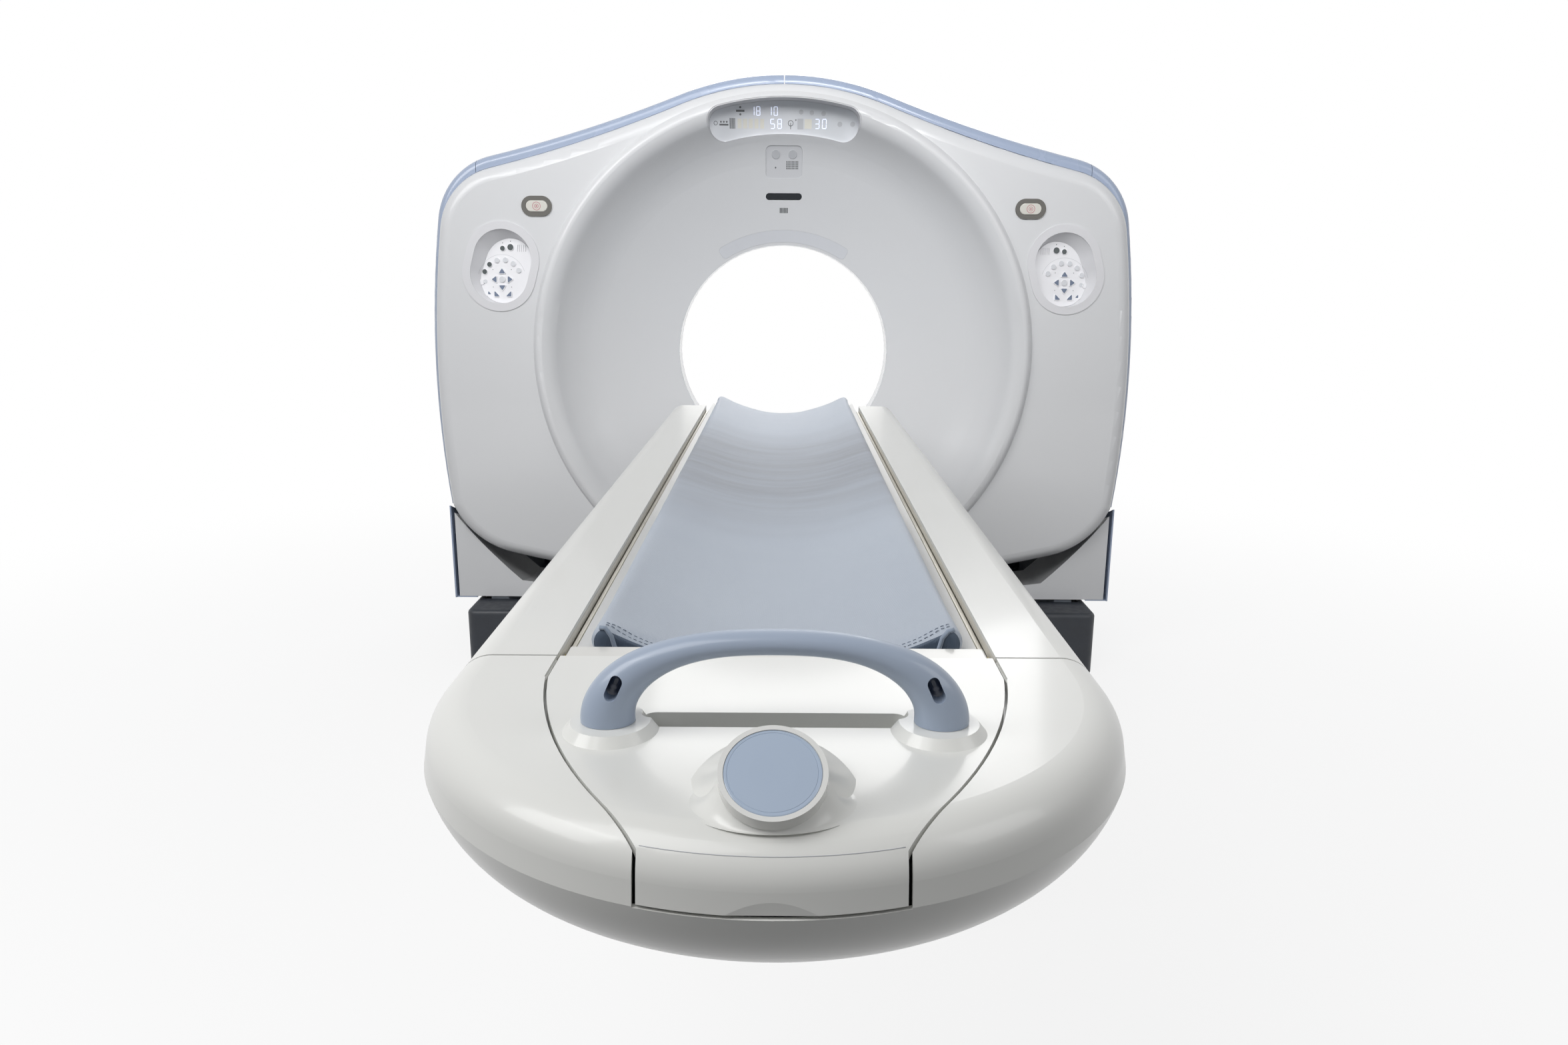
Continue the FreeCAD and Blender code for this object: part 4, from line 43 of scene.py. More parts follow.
CAMERA_AT = (0.007, -3.673, 1.2965)
CAMERA_DOWN, CAMERA_ROLL = math.radians(13.26), math.radians(0.35)
LENS, SENSOR = 24.35, 36.0           # millimetres

FLOOR_REACH, FLOOR_Z = 14.0, -0.001
FLOOR_MIDDLE = (0.0, -1.2, 0.0)      # around which the floor fades to white

POD_X, POD_Z = 0.883, 1.310          # centre of the right control pod
POD_TILT = math.radians(-8.4)        # slope of the pod's floor
STOP_X, STOP_Z = 0.762, 1.492        # centre of the right emergency stop
ROW_TOP_Z, ROW_LOW_Z = 1.7795, 1.7440    # the display's two rows
PANEL_KEYS_Z, SPEAKER_Z, SLOT_MARK_Z = 1.6585, 1.6185, 1.493

BADGE_AT = (0.0, -2.950, 0.929)      # middle of the badge's back
BADGE_LEAN = math.radians(31.0)
BADGE_THICK = 0.0110
PLATE_TOP_Z = 0.9046                 # just under the top of the foot end's cover
PLUG_X, PLUG_Z = 0.138, 0.950        # centre of the handle's right oval hole
PLUG_LEAN = math.radians(-24.0)
PLUG_RADIUS, PLUG_HALF = 0.0056, 0.0060
NOSE_Y, LIP_RADIUS = -2.672, 0.325   # centre and radius of the line across the nose
LIP_HALF_DEG = 17.2

TRIM_IN_X, TRIM_OUT_X = 0.2303, 0.2333    # the strip along a rail cover's inner edge
TRIM_FOOT_Y, TRIM_HEAD_Y = -2.6180, -0.4795

PAD_HALF, PAD_ROUND = 0.2110, 0.013  # half width of the mattress, radius of its sides
PAD_FOOT_Y, PAD_HEAD_Y = -2.5655, -0.3125
PAD_SLACK = 0.002                    # how much smaller it is made before it is filled
PAD_SPARE = 0.0003                   # how far it may pass its ends
PAD_GROWTH = 0.005                   # the most that filling may move a point
SHEEN_BAND_OFFSET = 1.40                   # from the frame's origin back to the middle of the mattress's band of painted sheen
PIPING_Y = -2.5606
STITCH_ROWS = (-2.5535, -2.5480)


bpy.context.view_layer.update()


# ---------------------------------------------------------------- camera, light and floor

def make_camera():
    data = bpy.data.cameras.new("camera")
    data.lens = LENS
    data.sensor_width = SENSOR
    camera = bpy.data.objects.new("camera", data)
    bpy.context.scene.collection.objects.link(camera)
    place = Matrix.Translation(CAMERA_AT)
    pitch = Matrix.Rotation(math.pi / 2 - CAMERA_DOWN, 4, "X")
    roll = Matrix.Rotation(CAMERA_ROLL, 4, "Z")
    camera.matrix_world = place @ pitch @ roll
    bpy.context.scene.camera = camera


def area_light(name, where, aim, width, height, watts, spread=180):
    data = bpy.data.lights.new(name, "AREA")
    data.shape = "RECTANGLE"
    data.size, data.size_y = width, height
    data.energy = watts
    data.spread = math.radians(spread)
    light = bpy.data.objects.new(name, data)
    bpy.context.scene.collection.objects.link(light)
    light.location = where
    light.rotation_mode = "QUATERNION"
    light.rotation_quaternion = (Vector(aim) - Vector(where)).to_track_quat("-Z", "Y")


def white_for_eyes(tree, lit):
    """A shader that camera, mirror and glass rays see as white, and all others as lit."""
    nodes, links = tree.nodes, tree.links
    path = nodes.new("ShaderNodeLightPath")
    seen = None
    for name in ("Is Camera Ray", "Is Glossy Ray", "Is Transmission Ray"):
        if seen is None:
            seen = path.outputs[name]
            continue
        add = nodes.new("ShaderNodeMath")
        add.operation = "MAXIMUM"
        links.new(seen, add.inputs[0])
        links.new(path.outputs[name], add.inputs[1])
        seen = add.outputs[0]
    mix = nodes.new("ShaderNodeMixShader")
    links.new(seen, mix.inputs[0])
    links.new(lit, mix.inputs[1])
    return mix


def make_world():
    world = bpy.data.worlds.new("studio")
    bpy.context.scene.world = world
    world.use_nodes = True
    nodes, links = world.node_tree.nodes, world.node_tree.links
    nodes.clear()
    out = nodes.new("ShaderNodeOutputWorld")
    lit = nodes.new("ShaderNodeBackground")
    lit.inputs["Color"].default_value = (0.96, 0.975, 1.0, 1)
    lit.inputs["Strength"].default_value = 0.26
    white = nodes.new("ShaderNodeBackground")
    white.inputs["Color"].default_value = (1, 1, 1, 1)
    white.inputs["Strength"].default_value = 1.0
    mix = white_for_eyes(world.node_tree, lit.outputs[0])
    links.new(white.outputs[0], mix.inputs[2])
    links.new(mix.outputs[0], out.inputs["Surface"])


def make_floor():
    """A pale floor that keeps the object's shadow and fades to white around it."""
    mesh = bpy.data.meshes.new("floor")
    corners = [(x * FLOOR_REACH, y * FLOOR_REACH, FLOOR_Z)
               for x, y in ((-1, -1), (1, -1), (1, 1), (-1, 1))]
    mesh.from_pydata(corners, [], [(0, 1, 2, 3)])
    floor = bpy.data.objects.new("floor", mesh)
    bpy.context.scene.collection.objects.link(floor)
    material = bpy.data.materials.new("floor_pale")
    material.use_nodes = True
    nodes, links = material.node_tree.nodes, material.node_tree.links
    nodes.clear()
    out = nodes.new("ShaderNodeOutputMaterial")
    diffuse = nodes.new("ShaderNodeBsdfDiffuse")
    diffuse.inputs["Color"].default_value = (0.86, 0.86, 0.86, 1)
    white = nodes.new("ShaderNodeEmission")
    white.inputs["Strength"].default_value = 1.0
    share = nodes.new("ShaderNodeMixShader")
    spot = nodes.new("ShaderNodeNewGeometry")
    away = nodes.new("ShaderNodeVectorMath")
    away.operation = "DISTANCE"
    away.inputs[1].default_value = FLOOR_MIDDLE
    links.new(spot.outputs["Position"], away.inputs[0])
    fade = nodes.new("ShaderNodeMapRange")
    fade.interpolation_type = "SMOOTHSTEP"
    for key, value in (("From Min", 1.2), ("From Max", 4.5), ("To Min", 0.84), ("To Max", 1.0)):
        fade.inputs[key].default_value = value
    links.new(away.outputs["Value"], fade.inputs["Value"])
    links.new(fade.outputs[0], share.inputs[0])
    links.new(diffuse.outputs[0], share.inputs[1])
    links.new(white.outputs[0], share.inputs[2])
    bounce = nodes.new("ShaderNodeBsdfDiffuse")
    bounce.inputs["Color"].default_value = (0.10, 0.10, 0.10, 1)
    mix = white_for_eyes(material.node_tree, bounce.outputs[0])
    links.new(share.outputs[0], mix.inputs[2])
    links.new(mix.outputs[0], out.inputs["Surface"])
    mesh.materials.append(material)


def make_lights():
    area_light("key_left", (-3.4, -3.4, 3.6), (0.0, -0.4, 1.4), 2.4, 2.0, 70)
    area_light("key_right", (3.4, -3.4, 3.2), (0.3, -0.2, 1.6), 2.2, 2.0, 26)
    area_light("gantry_front", (0.2, -3.4, 3.0), (0.1, -0.2, 1.9), 1.8, 1.0, 12, 80)
    area_light("top", (-1.6, -3.6, 4.2), (-0.2, -2.9, 0.8), 2.6, 2.0, 52)
    area_light("back", (0.5, 4.2, 3.4), (0.0, 0.4, 1.2), 3.0, 2.0, 70)
    for side, name in ((-1, "low_left"), (1, "low_right")):
        area_light(name, (side * 1.7, -2.4, 0.40), (side * 0.7, -0.1, 0.42), 0.9, 0.4, 0.8, 140)


# ---------------------------------------------------------------- materials

def shade(value):
    """Linear colour of a hex string."""
    channels = []
    for place in (0, 2, 4):
        part = int(value[place:place + 2], 16) / 255
        channels.append(part / 12.92 if part <= 0.04045 else ((part + 0.055) / 1.055) ** 2.4)
    return (*channels, 1.0)


class Finish:
    """A Principled material with procedural colour, roughness and bump, in metres."""

    def __init__(self, name):
        self.material = bpy.data.materials.new(name)
        self.material.use_nodes = True
        self.nodes = self.material.node_tree.nodes
        self.links = self.material.node_tree.links
        self.shader = self.nodes["Principled BSDF"]
        self.place = self.nodes.new("ShaderNodeTexCoord").outputs["Object"]
        self.height = None

    def set(self, **values):
        for key, value in values.items():
            self.shader.inputs[key.replace("_", " ")].default_value = value
        return self

    def scaled(self, scale):
        mapping = self.nodes.new("ShaderNodeMapping")
        mapping.inputs["Scale"].default_value = scale
        self.links.new(self.place, mapping.inputs["Vector"])
        return mapping.outputs[0]

    def noise(self, scale, detail=2.0, stretch=None, rough=0.5):
        texture = self.nodes.new("ShaderNodeTexNoise")
        texture.inputs["Scale"].default_value = scale
        texture.inputs["Detail"].default_value = detail
        texture.inputs["Roughness"].default_value = rough
        self.links.new(self.scaled(stretch) if stretch else self.place, texture.inputs["Vector"])
        return texture.outputs[0]

    def cells(self, scale):
        texture = self.nodes.new("ShaderNodeTexVoronoi")
        texture.inputs["Scale"].default_value = scale
        self.links.new(self.place, texture.inputs["Vector"])
        return texture.outputs["Distance"]

    def ramp(self, value, stops):
        ramp = self.nodes.new("ShaderNodeValToRGB")
        elements = ramp.color_ramp.elements
        while len(elements) < len(stops):
            elements.new(0.5)
        for element, (where, colour) in zip(elements, stops):
            element.position = where
            element.color = colour
        self.links.new(value, ramp.inputs[0])
        return ramp.outputs[0]

    def range(self, value, low, high, start=0.3, stop=0.7):
        remap = self.nodes.new("ShaderNodeMapRange")
        remap.inputs["From Min"].default_value = start
        remap.inputs["From Max"].default_value = stop
        remap.inputs["To Min"].default_value = low
        remap.inputs["To Max"].default_value = high
        self.links.new(value, remap.inputs["Value"])
        return remap.outputs[0]

    def math(self, kind, first, second):
        node = self.nodes.new("ShaderNodeMath")
        node.operation = kind
        for socket, value in zip(node.inputs, (first, second)):
            if isinstance(value, (int, float)):
                socket.default_value = value
            else:
                self.links.new(value, socket)
        return node.outputs[0]

    def colour(self, output):
        self.links.new(output, self.shader.inputs["Base Color"])
        return self

    def roughness(self, output):
        self.links.new(output, self.shader.inputs["Roughness"])
        return self

    def bump(self, output, distance, strength=1.0):
        node = self.nodes.new("ShaderNodeBump")
        node.inputs["Distance"].default_value = distance
        node.inputs["Strength"].default_value = strength
        self.links.new(output, node.inputs["Height"])
        if self.height:
            self.links.new(self.height, node.inputs["Normal"])
        self.height = node.outputs[0]
        self.links.new(self.height, self.shader.inputs["Normal"])
        return self


def tints(first, second):
    return [(0.32, shade(first)), (0.68, shade(second))]


def moulded(name, first, second, low=0.24, high=0.34, coat=0.35, grain=0.00002, cloud=0.9):
    """Painted or moulded plastic: faint tone drift, varied gloss, and an orange-peel skin."""
    finish = Finish(name)
    finish.colour(finish.ramp(finish.noise(cloud, 3.0), tints(first, second)))
    finish.roughness(finish.range(finish.noise(9.0, 4.0), low, high))
    finish.bump(finish.noise(160.0, 2.0), grain)
    finish.set(Coat_Weight=coat, Coat_Roughness=0.10, IOR=1.48)
    return finish.material


def metal(name, first, second, low=0.28, high=0.42, stretch=(30, 2, 30), grain=0.00003):
    """Machined or drawn metal with fine streaks."""
    finish = Finish(name)
    streak = finish.noise(24.0, 4.0, stretch)
    finish.colour(finish.ramp(streak, tints(first, second)))
    finish.roughness(finish.range(streak, low, high))
    finish.bump(streak, grain)
    finish.set(Metallic=1.0)
    return finish.material


def coarse(name, first, second, low=0.5, high=0.7, scale=260.0, grain=0.00012):
    """Powder coat, cast iron or rubber: a matt, pebbled skin."""
    finish = Finish(name)
    finish.colour(finish.ramp(finish.noise(14.0, 5.0), tints(first, second)))
    finish.roughness(finish.range(finish.noise(40.0, 3.0), low, high))
    finish.bump(finish.cells(scale), grain)
    return finish.material


def clear_film(name):
    """Milky film of the scan window and the display's pale pane."""
    finish = Finish(name)
    finish.colour(finish.ramp(finish.noise(6.0, 3.0), tints("D9DCE0", "E2E4E8")))
    finish.roughness(finish.range(finish.noise(30.0, 3.0), 0.14, 0.22))
    finish.bump(finish.noise(300.0, 2.0), 0.00002)
    finish.set(Coat_Weight=0.6, Coat_Roughness=0.05)
    return finish.material


def glow(name, tint, strength):
    """Lit segments: brighter and dimmer by a fine grid, as a matrix of small lamps."""
    finish = Finish(name)
    lamps = finish.cells(900.0)
    finish.colour(finish.ramp(lamps, [(0.2, shade(tint)), (0.8, shade("C6D2F0"))]))
    finish.links.new(finish.ramp(lamps, [(0.2, shade(tint)), (0.9, shade("B8C8F4"))]),
                     finish.shader.inputs["Emission Color"])
    finish.set(Emission_Strength=strength, Roughness=0.4)
    return finish.material


def pad_fabric(name, first, second, painted_sheen_band):
    """Fine coated weave, and with the band flag a painted sheen: soft grey cross bands laid into
    the colour in the middle of its length, over real wrinkle bumps.
    """
    finish = Finish(name)
    warp = finish.nodes.new("ShaderNodeTexWave")
    weft = finish.nodes.new("ShaderNodeTexWave")
    for wave, way, scale in ((warp, "X", 260.0), (weft, "Y", 260.0)):
        wave.wave_type = "BANDS"
        wave.bands_direction = way
        wave.inputs["Scale"].default_value = scale
        wave.inputs["Distortion"].default_value = 0.6
        wave.inputs["Detail"].default_value = 1.0
        finish.links.new(finish.place, wave.inputs["Vector"])
    weave = finish.math("MULTIPLY", warp.outputs["Fac"], weft.outputs["Fac"])
    base = finish.ramp(finish.noise(3.0, 4.0, (1, 0.5, 1)), tints(first, second))
    # Painted sheen: grey 8E929A mixed into the middle of the length, deepest along the ripples;
    # only the ripples' bump is real.
    if painted_sheen_band:
        along = finish.nodes.new("ShaderNodeSeparateXYZ")
        finish.links.new(finish.place, along.inputs[0])
        offset = finish.math("ADD", along.outputs[1], SHEEN_BAND_OFFSET)
        middle = finish.range(finish.math("ABSOLUTE", offset, 0), 1.0, 0.0, 0.18, 0.62)
        ripple = finish.noise(2.6, 5.0, (0.9, 7.0, 1.0), 0.62)
        sheen_folds = finish.range(ripple, 0.0, 1.0, 0.38, 0.66)
        sheen_depth = finish.math("ADD", finish.math("MULTIPLY", sheen_folds, 0.42), 0.50)
        share = finish.math("MULTIPLY", middle, sheen_depth)
        mix = finish.nodes.new("ShaderNodeMix")
        mix.data_type = "RGBA"
        finish.links.new(share, mix.inputs["Factor"])
        finish.links.new(base, mix.inputs[6])
        mix.inputs[7].default_value = shade("8E929A")
        base = mix.outputs[2]
        finish.bump(ripple, 0.0012, 0.5)
    finish.colour(base)
    finish.roughness(finish.range(weave, 0.46, 0.62, 0.0, 1.0))
    finish.bump(weave, 0.00022)
    finish.set(Sheen_Weight=0.25, Sheen_Roughness=0.4)
    return finish.material


# Two tints, then the values that differ from the finish's own
MOULDED = {
    "cover_white": ("DADBDD", "DCDDDF", 0.30, 0.33, 0.3, 0.00001),
    "table_white": ("E3E3DF", "E6E6E2", 0.30, 0.34, 0.3, 0.00001),
    "cradle_white": ("E2E1DD", "E6E5E1", 0.30, 0.35, 0.3),
    "strip_white": ("D9D8D3", "DEDDD8", 0.28, 0.36, 0.3),
    "rim_blue": ("98A6BF", "A2AFC6", 0.22, 0.3, 0.5),
    "handle_blue": ("9CA9BD", "A4B1C4", 0.32, 0.4, 0.3),
    "plug_navy": ("2A3346", "343E52", 0.3, 0.4, 0.3),
    "badge_plain": ("DEDEDB", "E4E4E1", 0.2, 0.28, 0.6),
    "badge_face": ("A3B3C8", "ACBBCF", 0.2, 0.28, 0.6),
    "pod_shell": ("DADADD", "E0E0E3", 0.3, 0.4, 0.2),
    "keypad_mat": ("ECECEF", "F0F0F3", 0.4, 0.5, 0.0, 0.00006),
    "key_blue": ("5F6C82", "6A778D", 0.35, 0.45, 0.2),
    "key_pale": ("CFD1D6", "D8DADE", 0.35, 0.45, 0.2),
    "key_dark": ("30383A", "3A4345", 0.3, 0.4, 0.3),
    "stop_frame": ("5E5C58", "66645F", 0.35, 0.45, 0.1),
    "stop_pad": ("D2D0C8", "D9D7CF", 0.35, 0.45, 0.2),
    "display_tray": ("D2D2D5", "D8D8DB", 0.3, 0.4, 0.2),
    "panel_grey": ("D3D4D7", "D8D9DC", 0.3, 0.4, 0.2),
    "inlay_grey": ("D2D4D9", "D8DADE", 0.3, 0.4, 0.2),
    "slot_black": ("08090A", "101113", 0.12, 0.2, 0.8),
    "trim_beige": ("CFCBC0", "D6D2C7", 0.3, 0.4, 0.1),
    "print_grey": ("6E7072", "77797B", 0.5, 0.6, 0.0),
    "print_faint": ("BFC1C5", "C5C7CB", 0.5, 0.6, 0.0),
    "print_red": ("B87780", "C0828A", 0.5, 0.6, 0.0),
    "print_cream": ("DFDDD3", "E4E2D9", 0.5, 0.6, 0.0),
}
COARSE = {
    "base_dark": ("20242B", "282D35", 0.38, 0.52, 300.0, 0.00008),
    "frame_steel": ("5D636B", "6A7078", 0.42, 0.56, 340.0, 0.00006),
    "cast_iron": ("4A4F56", "575C63", 0.5, 0.66, 180.0, 0.00018),
    "motor_grey": ("3C4249", "474D55", 0.4, 0.55, 320.0, 0.00006),
    "lead_grey": ("777C83", "858A91", 0.45, 0.6, 240.0, 0.00008),
    "belt_rubber": ("17181A", "202124", 0.6, 0.8, 500.0, 0.00006),
}
METAL = {
    "bright_steel": ("B9BDC3", "CDD0D5", 0.18, 0.3),
    "aluminium": ("CFCBC1", "DDDAD1", 0.3, 0.44, (30, 0.6, 30)),
    "brass": ("7C7340", "938A55", 0.3, 0.44, (20, 4, 20)),
}
FABRIC = {
    # The last value lays painted sheen (grey cross bands) into the cloth's colour.
    "pad_cloth": ("B3BCC9", "BCC5D1", True),
    "pad_side": ("4C5A6C", "566578", False),
    "piping": ("8C99AB", "98A4B5", False),
}


def make_materials():
    made = {"display_glass": clear_film("display_glass"), "window_film": clear_film("window_film"),
            "glow_blue": glow("glow_blue", "F2F6FF", 0.75)}
    for kind, table in ((moulded, MOULDED), (coarse, COARSE), (metal, METAL), (pad_fabric, FABRIC)):
        for name, values in table.items():
            made[name] = kind(name, *values)
    return made


def dress_nodes(materials):
    """Gives every CAD node its finish, slot by slot."""
    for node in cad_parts.values():
        for place in node.material_slots:
            name = place.material.name.split(".")[0]
            place.material = materials[name]


# ---------------------------------------------------------------- pieces laid on the covers

def surface(*names):
    """Finds the visible front of some CAD nodes, looking along the bore."""
    merged = bmesh.new()
    for name in names:
        merged.from_mesh(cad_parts[name].data)
    tree = BVHTree.FromBMesh(merged)
    merged.free()

    def touch(x, z):
        hit = tree.ray_cast(Vector((x, -0.7, z)), Vector((0, 1, 0)))[0]
        return hit.y
    return touch


def circle(x, z, radius, count=28):
    points = []
    for step in range(count):
        turn = 2 * math.pi * step / count
        points.append((x + radius * math.cos(turn), z + radius * math.sin(turn)))
    return points


def block(x, z, width, height):
    return [(x - width / 2, z - height / 2), (x + width / 2, z - height / 2),
            (x + width / 2, z + height / 2), (x - width / 2, z + height / 2)]


def rounded(points, radius, count=5):
    """A polygon with its corners rounded."""
    made = []
    for place, corner in enumerate(points):
        here = Vector(corner)
        before = Vector(points[place - 1]) - here
        after = Vector(points[(place + 1) % len(points)]) - here
        angle = before.angle(after)
        back = min(radius / math.tan(angle / 2), 0.45 * min(before.length, after.length))
        start, end = here + before.normalized() * back, here + after.normalized() * back
        for step in range(count + 1):
            t = step / count
            made.append(tuple(start * (1 - t) ** 2 + here * 2 * t * (1 - t) + end * t ** 2))
    return made


class Plates:
    """Thin solid shapes that lie on a cover, collected into one piece."""

    def __init__(self, touch, thick):
        self.touch = touch
        self.thick = thick
        self.mesh = bmesh.new()

    def ring_of(self, points, out):
        return [self.mesh.verts.new((x, self.touch(x, z) - out, z)) for x, z in points]

    def shape(self, points):
        back = self.ring_of(points, -0.0002)
        edge = self.ring_of(points, self.thick * 0.6)
        centre = Vector((sum(p[0] for p in points), sum(p[1] for p in points))) / len(points)
        inner = [tuple(centre + (Vector(p) - centre) * 0.93) for p in points]
        front = self.ring_of(inner, self.thick)
        count = len(points)
        for low, high in ((back, edge), (edge, front)):
            for i in range(count):
                j = (i + 1) % count
                self.mesh.faces.new((low[i], low[j], high[j], high[i]))
        self.mesh.faces.new(front)
        return self

    def band(self, points):
        """A narrow strip whose outline runs out along one edge and back along the other."""
        half = len(points) // 2
        pairs = list(zip(points[:half], reversed(points[half:])))
        rows = []
        for near, far in pairs:
            rows.append(self.ring_of([near, near, far, far], 0.0))
            for vert, out in zip(rows[-1], (-0.0002, self.thick, self.thick, -0.0002)):
                vert.co.y -= out
        for low, high in zip(rows, rows[1:]):
            for i in range(4):
                j = (i + 1) % 4
                self.mesh.faces.new((low[i], low[j], high[j], high[i]))
        self.mesh.faces.new(rows[0])
        self.mesh.faces.new(rows[-1][::-1])

    def ring(self, x, z, outer, inner, count=28):
        rings = []
        for radius, out in ((outer, -0.0002), (outer, self.thick), (inner, self.thick),
                            (inner, -0.0002)):
            rings.append(self.ring_of(circle(x, z, radius, count), out))
        for low, high in zip(rings, rings[1:]):
            for i in range(count):
                j = (i + 1) % count
                self.mesh.faces.new((low[i], low[j], high[j], high[i]))
        return self

    def finish(self, name, material, body, slot_name):
        bmesh.ops.recalc_face_normals(self.mesh, faces=self.mesh.faces)
        return add_piece(name, self.mesh, material, body)


def add_piece(name, mesh, material, body, smooth=False):
    data = bpy.data.meshes.new(name)
    mesh.to_mesh(data)
    mesh.free()
    data.materials.append(material)
    for face in data.polygons:
        face.use_smooth = smooth
    piece = bpy.data.objects.new(name, data)
    bpy.context.scene.collection.objects.link(piece)
    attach(piece, body)
    return piece


SEGMENTS = {"0": "abcdef", "1": "bc", "2": "abged", "3": "abgcd", "5": "afgcd", "8": "abcdefg",
            "-": "g"}


def digit(plates, text, x, z, width, height):
    """A seven-segment figure."""
    w, h = width / 2, height / 2
    bar = width * 0.17
    places = {"a": (0, h, 1), "b": (w, h / 2, 0), "c": (w, -h / 2, 0), "d": (0, -h, 1),
              "e": (-w, -h / 2, 0), "f": (-w, h / 2, 0), "g": (0, 0, 1)}
    for segment in SEGMENTS[text]:
        dx, dz, flat = places[segment]
        if flat:
            plates.shape(block(x + dx, z + dz, 2 * w - bar, bar))
        else:
            plates.shape(block(x + dx, z + dz, bar, h - bar))


def display_print(materials):
    """Figures, small generic signs and lamps behind the display's window."""
    touch = surface("display_lens")
    lit = Plates(touch, 0.0006)
    top, low = ROW_TOP_Z, ROW_LOW_Z
    for text, x in (("1", -0.098), ("8", -0.080), ("1", -0.045), ("0", -0.026)):
        digit(lit, text, x, top, 0.011, 0.024)
    for text, x in (("5", -0.036), ("8", -0.014)):
        digit(lit, text, x, low, 0.012, 0.026)
    for text, x in (("3", 0.102), ("0", 0.124)):
        digit(lit, text, x, low, 0.012, 0.026)
    lit.finish("display_figures", materials["glow_blue"], "gantry", "display_glass")

    dark = Plates(touch, 0.0004)
    dark.shape(block(-0.135, top, 0.026, 0.006))
    dark.shape(circle(-0.135, top + 0.010, 0.0032, 14))
    dark.shape(circle(-0.135, top - 0.010, 0.0032, 14))
    dark.ring(-0.211, low, 0.0062, 0.0046)
    for step in range(3):
        dark.shape(circle(-0.195 + 0.009 * step, low + 0.004, 0.0028, 12))
    dark.shape(block(-0.186, low - 0.004, 0.028, 0.005))
    for step in range(5):
        dark.shape(block(-0.167 + 0.0036 * step, low, 0.0024, 0.030))
    dark.ring(0.020, low + 0.002, 0.0085, 0.0068)
    dark.shape(block(0.020, low - 0.006, 0.0018, 0.018))
    dark.shape(circle(0.036, low + 0.011, 0.0022, 10))
    dark.finish("display_signs", materials["print_grey"], "gantry", "display_glass")

    faint = Plates(touch, 0.0003)
    for x in (0.052, 0.085, 0.121):
        faint.shape(circle(x, top + 0.001 - 0.06 * x, 0.0070, 18))
    for x in (0.172, 0.211):
        faint.shape(circle(x, low - 0.001, 0.0075, 18))
    faint.shape(block(0.050, low, 0.018, 0.030))
    faint.finish("display_lamps_off", materials["print_faint"], "gantry", "display_glass")

    cream = Plates(touch, 0.0002)
    for step in range(5):
        cream.shape(block(-0.138 + 0.0175 * step, low, 0.012, 0.027))
    cream.shape(block(0.074, low, 0.022, 0.027))
    cream.finish("display_cells_off", materials["print_cream"], "gantry", "display_glass")


def panel_fittings(materials):
    """Buttons, lamp and speaker slots of the small panel, and the mark under the slot."""
    touch = surface("button_panel")
    caps = Plates(touch, 0.0016)
    for x in (-0.0255, 0.0274):
        caps.shape(circle(x, PANEL_KEYS_Z, 0.0132, 32))
    caps.finish("panel_buttons", materials["print_faint"], "gantry", "panel_grey")
    dark = Plates(touch, 0.0003)
    dark.shape(circle(-0.0265, SPEAKER_Z + 0.0020, 0.0026, 12))
    for row in range(4):
        for column in range(9):
            dark.shape(block(0.0085 + 0.0044 * column, SPEAKER_Z + 0.0062 * row, 0.0028, 0.0048))
    dark.finish("panel_speaker_slots", materials["print_grey"], "gantry", "panel_grey")
    front = Plates(surface("dish_cover"), 0.0004)
    for step in range(6):
        front.shape(block(-0.0115 + 0.0046 * step, SLOT_MARK_Z, 0.0036, 0.016))
    front.finish("slot_mark", materials["print_grey"], "gantry", "cover_white")


def stop_signs(materials):
    """The plain round sign on each stop."""
    for side, name in ((-1, "left"), (1, "right")):
        marks = Plates(surface(f"stop_button_{name}"), 0.0003)
        x = side * STOP_X
        marks.ring(x, STOP_Z, 0.0128, 0.0112)
        marks.ring(x, STOP_Z, 0.0066, 0.0052)
        marks.shape(circle(x, STOP_Z, 0.0026, 14))
        marks.finish(f"stop_sign_{name}", materials["print_red"], f"stop_{name}", "stop_pad")


